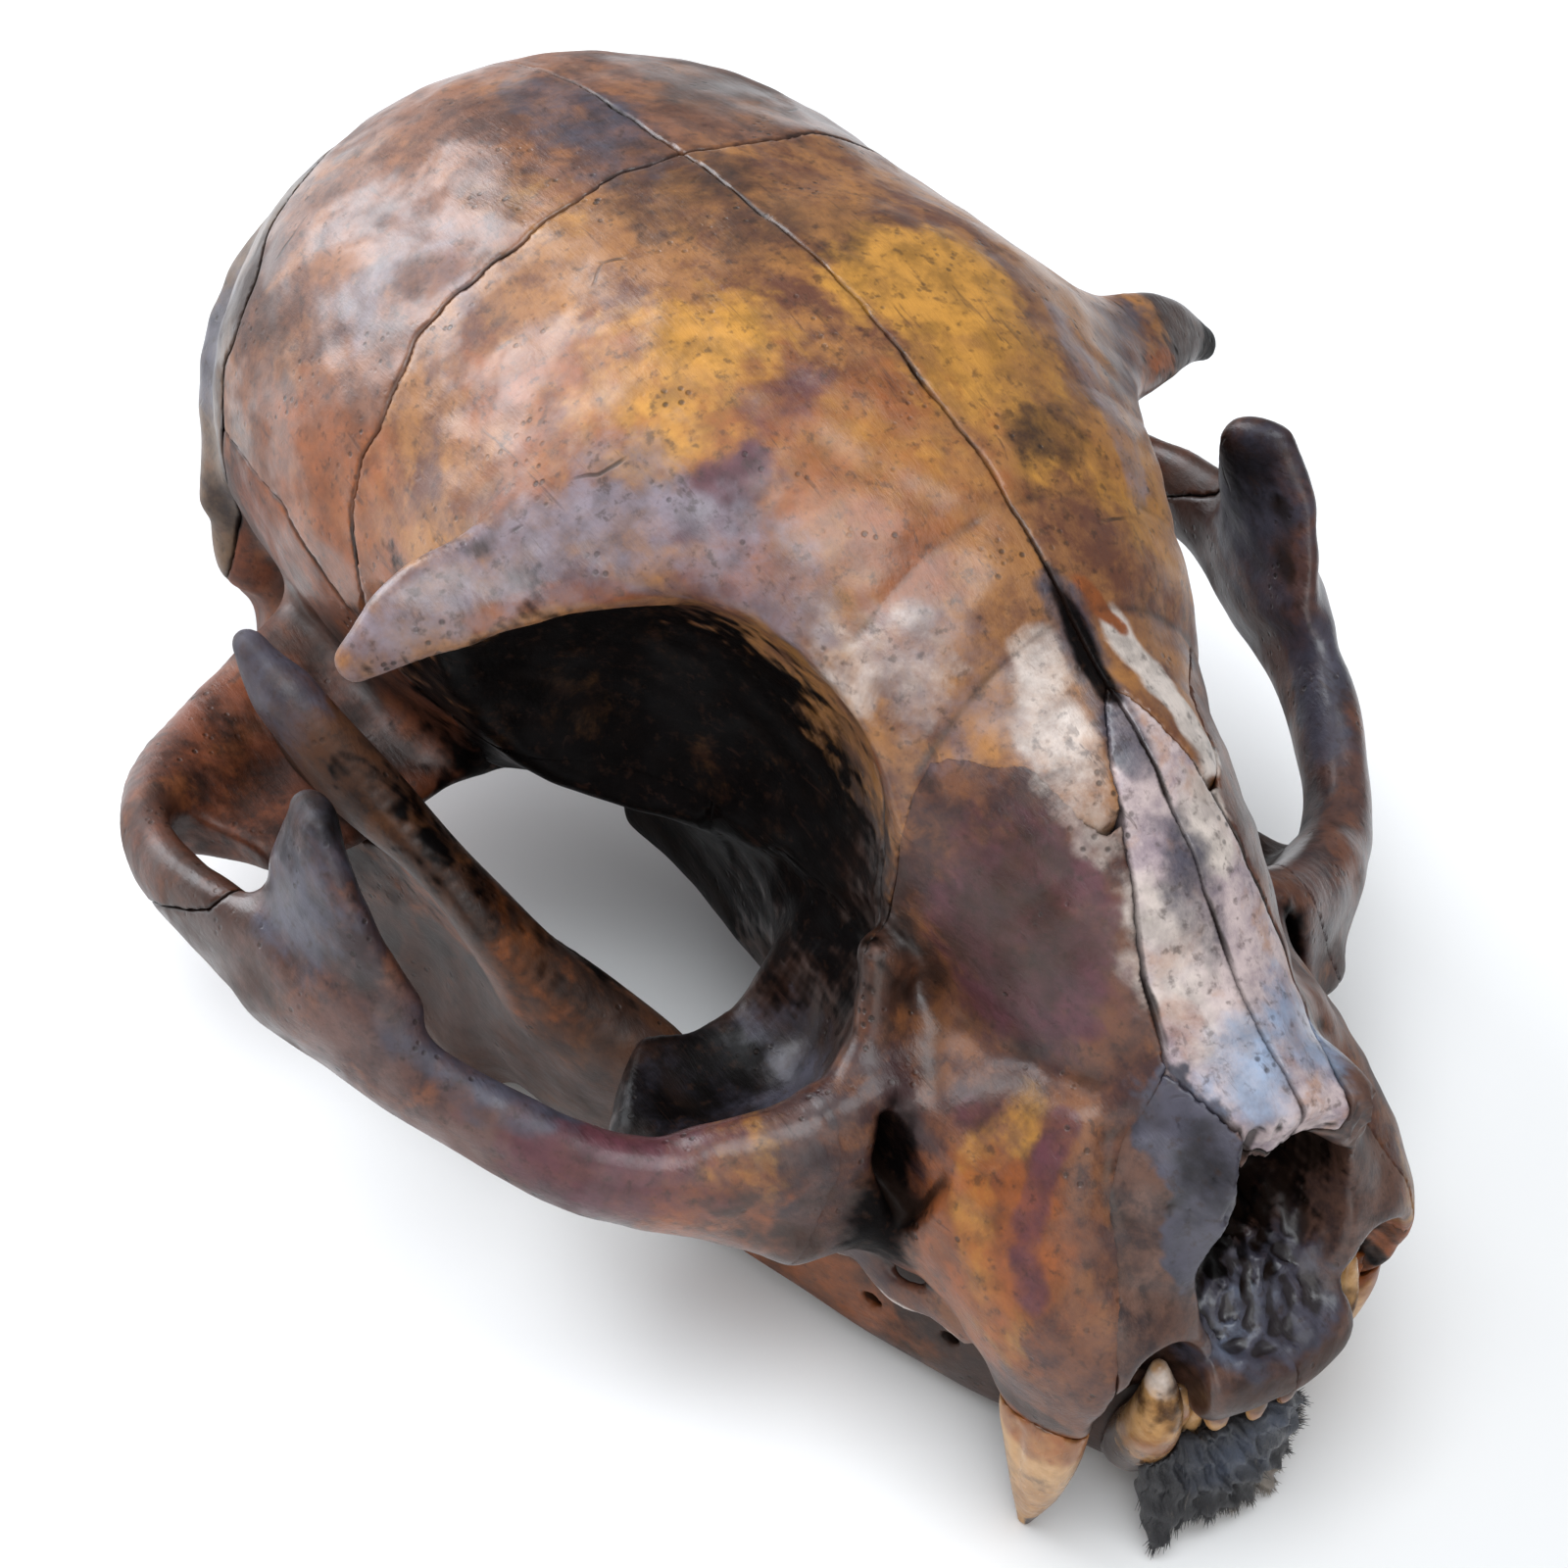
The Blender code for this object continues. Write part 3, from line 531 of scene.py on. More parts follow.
        shelf = ((17, 57, 5.6, 7, 2.2), (24, 55.2, 4.8, 6, 1.6), (29.5, 54.2, 4.8, 4.4, 1.3))
        skull.add(Bar(shelf, (0, 1, -0.2), 18), 3)
        skull.cut(Ball((30.6, 50.6, 4.8), (2.1, 4.2, 6.5), yaw=-15), 0.7)

    @staticmethod
    def underside(skull: Mass) -> None:
        """The ear capsules, the knobs behind them, the wings of the throat and the two condyles."""
        skull.add(Ball((12, 64.5, 1.5), (6.4, 9.4, 6.0), yaw=-12), 1.2)
        skull.cut(Ball((20, 64.5, 4), (6, 2.2, 2.2)), 0.8)
        skull.add(Bar(((17, 72.5, 6, 3, 2.2), (15, 75.5, 0.5, 1.6, 1.2)), UP, 4), 2)
        throat_wing = ((6.6, 34, 4.6, 3.4, 1.2), (6.2, 43, 3.6, 3.3, 0.8), (6.4, 48, 2.2, 2.2, 0.7))
        skull.add(Bar(throat_wing, UP, 20), 1.2)
        throat = ((0, 40, 1, 4.6, 3.2), (0, 49, 1, 4.6, 3), (0, 55, 0.5, 4.6, 2.5))
        skull.cut(Bar(throat, SIDE, 5), 1)
        skull.cut(Ball((0, 20, -5.6), (9, 26, 5.2)), 0.8)
        skull.add(Ball((5.2, 81.5, 6), (3.2, 3.6, 5)), 1)
        skull.cut(Ball((0, 81, 9.6), (6, 9, 5)), 0.8)

    @staticmethod
    def nose(skull: Mass) -> None:
        """The slanted nose opening, its passage with the scrolls inside, and the cheek foramen."""
        skull.cut(Ball((0, -3.2, 12.5), (7.6, 7.4, 10), pitch=-20), 1)
        passage = ((0, 1, 8.4, 4.9, 5), (0, 7, 10.6, 5, 5.4), (0, 15, 12.5, 4.3, 4.4))
        skull.cut(Bar(passage, SIDE, 6), 0.5)
        skull.add(Bar(((0, 3, 1.8, 5.5, 1.5), (0, 12, 1.9, 7, 1.6), (0, 24, 2.4, 8, 2)), SIDE, 5),
                  0.8)
        scroll = ((3.9, 6.5, 9.5, 2.2, 0.35), (2.6, 9, 10.5, 2.8, 0.35), (1.9, 13, 11.5, 3.2, 0.4))
        skull.add(Bar(scroll, (0.4, 0, 1), 8), 0.6)
        skull.add(Bar(((0, 8.5, 5.5, 2.6, 0.35), (0, 14, 8, 5, 0.4)), UP, 5), 0.6)
        skull.cut(Ball((7.1, 1.9, 1.8), (2.9, 2.9, 5)), 0.8)
        cheek_foramen = ((12.9, 14.8, 8.2, 2.2, 0.6), (13.1, 18.2, 8.8, 2.3, 0.6),
                         (13.6, 21.2, 9.0, 1.2, 0.5))
        skull.cut(Bar(cheek_foramen, UP, 8), 1.4)

    @staticmethod
    def tooth_row(skull: Mass) -> None:
        """The thin scalloped rim of the lost cheek teeth, and their empty sockets."""
        rim = ((13.6, 22.5, 0.9, 0.9, 0.45), (13.2, 19.6, -0.3, 0.9, 0.42),
               (12.7, 17.6, 0.3, 0.9, 0.42), (12.3, 15.2, -0.5, 0.9, 0.42),
               (11.6, 12.9, 0.2, 0.9, 0.42), (10.9, 10.8, -0.2, 0.9, 0.45))
        skull.add(Bar(rim, UP, 16), 0.9)
        for y, x, width in ((21.3, 12.0, 1.3), (18.2, 11.6, 1.2), (15.2, 11.0, 1.2),
                            (12.2, 10.3, 0.9)):
            skull.cut(Bar(((x, y, -2, width, 0.8), (x - 0.3, y, 2.2, width * 0.7, 0.5)), BACK, 3),
                      0.4)

    @classmethod
    def foramina(cls, skull: Mass) -> None:
        """The holes for nerves and vessels."""
        for centre, way, radius, depth in cls.FORAMINA:
            start = skull.onto_surface(np.array([centre], float))[0]
            way = np.array(way) / np.linalg.norm(way)
            front, back = start - way * 0.6, start + way * depth
            rows = ((*front, radius * 1.3, radius * 0.8), (*start, radius * 1.2, radius * 0.7),
                    (*back, radius * 0.7, radius * 0.5))
            skull.cut(Bar(rows, UP, 4), 0.3)

    @classmethod
    def broken_nose_tips(cls, skull: Mass) -> None:
        """The jagged front edges of the nasal bones and of the bone beside the nose opening."""
        skull.add(Ball((3.7, 5.2, 15.9), (1.3, 2.6, 1.9), pitch=-20), 1.6)
        part = skull.slices(((-7, 7), (-1, 8), (11.5, 22)), 0)
        x, y, z = skull.coordinates(part)
        chips = 0.30 * np.abs(np.sin(2.3 * x + 0.6 * z))
        chips = chips + 0.16 * np.sin(7.1 * x - 2.3 * z) + 0.08 * np.sin(15 * x)
        edge = level_at(x, cls.NOSE_RIM) + chips - 4 * np.clip((13.4 - z) / 1.6, 0, 1)
        skull.field[part] = smooth_maximum(skull.field[part], (edge - y) * 0.8, 0.15)

    @staticmethod
    def dried_tissue(skull: Mass) -> None:
        """The crumpled black tissue that rises from the floor of the nose opening to its back."""
        skull.add(Ball((0, 6.6, 2.5), (4.9, 6.4, 4.2), pitch=20), 0.8)
        part = skull.slices(((-5.2, 5.2), (0.2, 11.0), (1.6, 9.5)), 0)
        x, y, z = skull.coordinates(part)
        reach = np.sqrt((x / 4.6) ** 2 + ((y - 5.2) / 5.0) ** 2 + ((z - 4.6) / 4.2) ** 2)
        inside = np.clip(1.6 - reach * 1.2, 0, 1)
        bend = np.sin(1.1 * y + 0.8 * x) + np.sin(1.3 * z - 0.9 * x)
        coarse = np.abs(np.sin(1.35 * x + 0.5 * y + bend))
        coarse = coarse + np.abs(np.sin(1.1 * y - 0.9 * x + 1.2 * bend))
        fine = np.abs(np.sin(3.4 * x - 1.2 * y + 1.5 * bend))
        fine = fine + np.abs(np.sin(2.6 * y + 1.9 * z + 2 * bend))
        rise = inside * (0.34 * (coarse - 1.1) + 0.15 * (fine - 1.1))
        skull.field[part] += rise.astype(np.float32)

    @classmethod
    def score(cls, skull: Mass) -> list[np.ndarray]:
        """Score the named lines on both sides, and return their points."""
        random = np.random.default_rng(SEED + 3)
        found = []
        for line in cls.SCORES.values():
            for side in (1, -1):
                points = spline(np.array(line, float), 40)
                points[:, 0] *= side
                points += random.normal(0, 0.05, points.shape)
                points = skull.onto_surface(points)
                rows = [(*point, cls.SCORE_DEPTH, cls.SCORE_DEPTH) for point in points[::2]]
                skull.cut(Bar(rows, UP, len(rows)), 0.2)
                found.append(points)
        return found


class JawShape:
    """The lower jaw's halves and the four canines, shaped for one side."""

    def __init__(self, skull: SkullShape) -> None:
        """Shape every piece on the upper skull's own grid.

        Args:
            skull: the upper skull, which the pieces keep clear of.
        """
        self.step = skull.half.step
        self.mandible = self.make(self.shape_mandible)
        self.mandible.keep_clear_of(skull.half, JAW_CLEARANCE)
        self.upper_canine = self.make(self.shape_upper_canine)
        self.upper_canine.keep_clear_of(skull.half, 0.12)
        self.lower_canine = self.make(self.shape_lower_canine)
        self.lower_canine.keep_clear_of(skull.half, 0.15)
        self.lower_canine.keep_clear_of(self.mandible, 0.1)

    def make(self, build: Callable[[Mass], None]) -> Mass:
        """Return a new mass shaped by a function."""
        mass = Mass.for_one_side(self.step)
        build(mass)
        return mass

    @staticmethod
    def shape_mandible(jaw: Mass) -> None:
        """One half of the lower jaw: body, coronoid blade, condyle, angle, sockets and foramina."""
        body = ((2.4, 4.4, -5.6, 3.4, 2.6), (5, 9, -5.5, 4, 2.3), (8.4, 16, -5.2, 4.6, 2.2),
                (11.8, 25, -4.8, 5, 2.2), (15, 35, -4.2, 5.2, 2.1), (18, 44, -2.8, 5.8, 1.8))
        jaw.add(Bar(body, UP, 44), 0)
        blade = ((16.2, 36.5, -3, 5, 1.8), (20.2, 45.5, 1, 8, 1.4), (23.2, 52, 7.5, 5.8, 1.2),
                 (25, 55.5, 12, 3.2, 1), (25.9, 56.8, 14.9, 1.3, 0.8))
        lean = ((0, 1, -0.6), (0, 1, -0.5), (0, 1, -0.4), (0, 1, -0.2), (0, 1, 0))
        jaw.add(Bar(blade, lean, 48), 3)
        condyle = ((17, 56.6, 0.4, 2, 1.9), (20.5, 56.2, 0.6, 2.2, 2.1),
                   (24.6, 55.6, 0.6, 1.8, 1.6))
        jaw.add(Bar(condyle, UP, 5), 1.5)
        jaw.add(Bar(((20.5, 48, -1, 5, 1.6), (21.3, 53, -0.4, 3.4, 1.6)), UP, 4), 2)
        angle = ((18.5, 44, -6.6, 3.8, 1.9), (19.3, 51, -8.6, 2.2, 1.6), (19, 57, -9.2, 1.5, 1.2))
        jaw.add(Bar(angle, UP, 18), 2)
        front_ridge = ((15.2, 33.6, 0.0, 1.0, 0.8), (18.6, 39.6, 4.0, 1.1, 0.8),
                       (22.2, 46.8, 8.6, 1.0, 0.8), (25.2, 53.8, 13.6, 0.8, 0.6))
        jaw.add(Bar(front_ridge, UP, 48), 3.6)
        jaw.cut(Ball((24.6, 47.5, 0.5), (2.9, 7.5, 6.5), yaw=-24), 3)
        for x, y, radius in ((7.2, 12.4, 1.0), (8.8, 16.6, 1.2), (10.6, 21.2, 1.2)):
            jaw.cut(Bar(((x, y, 1, radius, 0.7), (x, y, -4, radius * 0.6, 0.4)), BACK, 3), 0.4)
        for x, y, z in ((9.4, 13.2, -4.6), (10.6, 17.5, -5.2)):
            jaw.cut(Ball((x, y, z), (1.3, 0.55, 0.42)), 0.3)
        jaw.cut(Flat((SEAM / 2, 0, 0), SIDE), 0.2)

    @staticmethod
    def shape_upper_canine(tooth: Mass) -> None:
        """An upper canine with the shallow groove along its outer face."""
        crown = ((9.4, 6.4, 2.5, 2.7, 2), (9.9, 5.7, -1.2, 2.7, 1.85), (9.9, 5.3, -3.4, 2.3, 1.65),
                 (9.8, 5.0, -6.4, 1.5, 1.25), (9.5, 5.1, -10.35, 0.42, 0.42))
        tooth.add(Bar(crown, BACK, 26), 0)
        groove = ((11.8, 5.4, -1, 0.22, 0.15), (11.4, 4.9, -6, 0.2, 0.12),
                  (10.2, 4.9, -10, 0.15, 0.12))
        tooth.cut(Bar(groove, BACK, 8), 0.4)

    @staticmethod
    def shape_lower_canine(tooth: Mass) -> None:
        """A lower canine with the groove on its front."""
        crown = ((4.4, 4.2, -6, 1.7, 1.5), (5.2, 2.8, -2.3, 1.6, 1.45),
                 (5.9, 2.3, 1, 1.25, 1.15), (6.3, 2.7, 3.7, 0.5, 0.5))
        tooth.add(Bar(crown, BACK, 26), 0)
        groove = ((5.6, 0.9, -2.4, 0.16, 0.2), (6.3, 1.1, 0.6, 0.14, 0.18),
                  (6.6, 2, 2.6, 0.1, 0.12))
        tooth.cut(Bar(groove, BACK, 6), 0.3)


# ---------------------------------------------------------------- the sutures and the bones


@dataclass(frozen=True)
class Wall:
    """A suture's surface, as one coordinate given along another.

    Attributes:
        value: the axis whose coordinate the line gives.
        along: the axis the line runs along.
        line: pairs (along, value), with rising `along`.
        wobble: how far the suture wanders.
    """

    value: int
    along: int
    line: tuple[tuple[float, float], ...]
    wobble: float = 0.22

    def side(self, coordinates: Sequence[np.ndarray]) -> np.ndarray:
        """Return the distance of points past the wall, positive toward higher values."""
        x, y, z = coordinates
        place = [np.abs(x), y, z]
        at, value = np.array(self.line, np.float32).T
        along = place[self.along]
        level = np.interp(along, at, value).astype(np.float32)
        rise = np.interp(along + 0.5, at, value) - np.interp(along - 0.5, at, value)
        rise = rise.astype(np.float32)
        distance = (place[self.value] - level) / np.sqrt(1 + rise * rise)
        return distance + self.wander(x, y, z)

    def wander(self, x: np.ndarray, y: np.ndarray, z: np.ndarray) -> np.ndarray:
        """Return the suture's small bends at points."""
        turn = 0.35 * x + 0.55 * y + 0.45 * z + 2.0 * self.value
        fine = 1.5 * x - 1.2 * y + 1.6 * z + 1.3 * np.sin(0.4 * y + 0.3 * x)
        return self.wobble * (np.sin(turn + 0.8 * np.sin(0.2 * (x - z))) + 0.35 * np.sin(fine))


X, Y, Z = range(3)
WALLS: dict[str, Wall] = {
    "coronal": Wall(Y, Z, ((12.7, 53), (15.7, 54), (18.5, 54.6), (25, 57), (33, 58.8), (41, 59.5)),
                    0.3),
    "lambdoid": Wall(Y, X, ((0, 79.5), (8, 79), (12, 77), (15.5, 74), (22.5, 68.5)), 0.3),
    "squamosal": Wall(Z, Y, ((49.4, 12.9), (55, 16.3), (62, 18.8), (70, 17), (77, 12.5), (80, 11)),
                      0.12),
    "nasion": Wall(Y, X, ((0, 17), (3.4, 17.3), (4.2, 18.6), (5, 21.4), (8, 24.8), (10.5, 24),
                          (14.5, 19.5)), 0.12),
    "nasal_side": Wall(X, Y, ((3, 2.4), (5, 2.8), (7, 3.5), (9.2, 4.2), (12, 4.0), (14, 3.5),
                              (16.5, 2.9), (19.3, 1.9), (22, 0.6), (23.4, -0.5)), 0.12),
    "nasal_floor": Wall(Z, Y, ((3, 15.6), (16, 16.2), (26, 18.6)), 0),
    "incisive": Wall(Y, X, ((0, 9.5), (4.2, 9.4), (6.2, 8.9), (7.6, 7.6), (8.3, 5.6), (8.8, 4.2),
                            (10, 2)), 0.12),
    "palatine": Wall(Y, X, ((0, 24), (6.4, 24.6), (7.9, 28), (8.6, 33), (9.5, 38)), 0),
    "cheek": Wall(X, Z, ((-1.5, 19.6), (3, 18.4), (9, 16), (13, 14.6)), 0.15),
    "arch": Wall(Y, Z, ((2.5, 53), (5, 52), (7.6, 49), (10.2, 45.6), (13, 45)), 0.1),
    "temporal_inner": Wall(X, Z, ((-8, 5), (4.5, 5), (8, 10), (19.2, 10)), 0.15),
}
MIDLINE_WOBBLE = 0.09
# Where the sutures are closed or covered: centre, radii, and how much of the line is gone.
CLOSED: tuple[tuple[Point, Point, float], ...] = (
    ((10, 35, 11), (9.5, 17, 7.5), 1.0),
    ((0, 5, 6.5), (5, 7, 6.5), 1.0),
    ((6.5, 23.5, 27), (6, 6, 7), 0.7),
    ((9, 25, 22), (3.5, 6, 9), 0.5),
    ((7, 7, 10), (4.4, 6.5, 10), 0.82),
    ((17, 22, 6), (5, 11, 7), 0.85),
    ((14, 46, 32), (6, 4, 6), 0.6),
)
OVERLAP = 0.12                          # how far bones reach into each other where no line is left


class Regions:
    """How far each point of a part of the grid lies inside each bone's share of the skull.

    Attributes:
        FLOOR_TOP: the height at which the bones of the skull's floor end.
        BROW_WIDTH: how far from the middle the brow ends.
        BROW_RISE: how much higher the frontal bones end beyond that.
    """

    FLOOR_TOP = 12.9
    BROW_WIDTH = 19
    BROW_RISE = 7.6

    def __init__(self, coordinates: Sequence[np.ndarray]) -> None:
        """Measure every wall.

        Args:
            coordinates: x, y and z of the points, ready to broadcast.
        """
        self.x, self.y, self.z = coordinates
        self.wall = {name: wall.side(coordinates) for name, wall in WALLS.items()}
        across = np.abs(self.x)
        temple = level_at(self.y, WALLS["squamosal"].line)
        inner = np.clip((across - 9.6) / 0.4, 0, 1)
        outer = np.clip((across - self.BROW_WIDTH) / 2, 0, 1) * (self.y < 48)
        level = self.FLOOR_TOP + inner * (temple - self.FLOOR_TOP) + outer * self.BROW_RISE
        self.above = self.z - level + WALLS["squamosal"].wander(self.x, self.y, self.z)
        wiggle = np.sin(0.5 * self.y + 0.2 * self.z) + 0.5 * np.sin(1.9 * self.y - 0.8 * self.z + 1)
        calm = np.clip((self.y - 24) / 10, 0.25, 1)
        self.mid = self.x + MIDLINE_WOBBLE * calm * wiggle
        self.base = self.smallest(self.FLOOR_TOP - self.z, -self.wall["lambdoid"])
        front = self.smallest(49.6 - self.y, self.BROW_WIDTH - across)
        self.centre = np.maximum(front, -self.wall["temporal_inner"])
        arch = self.y - 44.2
        past = np.clip((across - 30.5) / 0.5, 0, 1)
        self.behind_arch = arch * (1 - past) + self.wall["arch"] * past
        self.nose_roof = self.smallest(-self.wall["nasal_side"], self.wall["nasal_floor"])

    def openness(self) -> np.ndarray:
        """Return how open the sutures are, from 0 where they are closed to 1."""
        across = np.abs(self.x)
        left = np.float32(1.0)
        for centre, radii, share in CLOSED:
            reach = np.sqrt(sum(((place - middle) / radius) ** 2 for place, middle, radius
                                in zip((across, self.y, self.z), centre, radii)))
            left = np.minimum(left, 1 - share * np.clip((1.25 - reach) / 0.4, 0, 1))
        return left

    @staticmethod
    def smallest(*fields: np.ndarray) -> np.ndarray:
        """Return the least of several fields at each point."""
        least = fields[0]
        for other in fields[1:]:
            least = np.minimum(least, other)
        return least

    def nasal(self) -> np.ndarray:
        """Return the depth inside the nasal bones."""
        return self.nose_roof

    def premaxilla(self) -> np.ndarray:
        """Return the depth inside the premaxillae."""
        return self.smallest(-self.wall["incisive"], -self.nose_roof)

    def maxilla(self) -> np.ndarray:
        """Return the depth inside the maxillae."""
        upper = self.smallest(-self.wall["nasion"], self.z - 12.4)
        lower = self.smallest(-self.wall["palatine"], self.FLOOR_TOP - self.z)
        return self.smallest(np.maximum(upper, lower), -self.wall["cheek"], self.wall["incisive"],
                             -self.nose_roof)

    def zygomatic(self) -> np.ndarray:
        """Return the depth inside the cheekbones."""
        return self.smallest(self.wall["cheek"], -self.behind_arch, -self.above, self.y - 10)

    def frontal(self) -> np.ndarray:
        """Return the depth inside the frontal bones."""
        return self.smallest(self.wall["nasion"], -self.wall["coronal"], self.above,
                             -self.nose_roof)

    def parietal(self) -> np.ndarray:
        """Return the depth inside the parietal bones."""
        return self.smallest(self.wall["coronal"], self.above, -self.wall["lambdoid"])

    def temporal(self) -> np.ndarray:
        """Return the depth inside the temporal bones."""
        return self.smallest(-self.above, -self.wall["lambdoid"], -self.centre, self.behind_arch)

    def sphenoid(self) -> np.ndarray:
        """Return the depth inside the bones of the skull's floor."""
        return self.smallest(self.base, self.wall["palatine"], self.centre)

    def occipital(self) -> np.ndarray:
        """Return the depth inside the occipital bone."""
        return self.wall["lambdoid"]


# ---------------------------------------------------------------- stains, and painted light and shade


@dataclass(frozen=True)
class Patch:
    """A patch of staining or painted light: an ellipsoid in which a layer shows, with a soft, uneven
    edge.
    """

    layer: Layer
    centre: Point
    radii: Point
    strength: float = 1.0
    soft: float = 0.45
    twin: bool = False


@dataclass(frozen=True)
class Streak:
    """A line of staining or painted light: a layer shows within a width of a polyline."""

    layer: Layer
    line: Line
    width: float
    strength: float = 1.0
    twin: bool = False


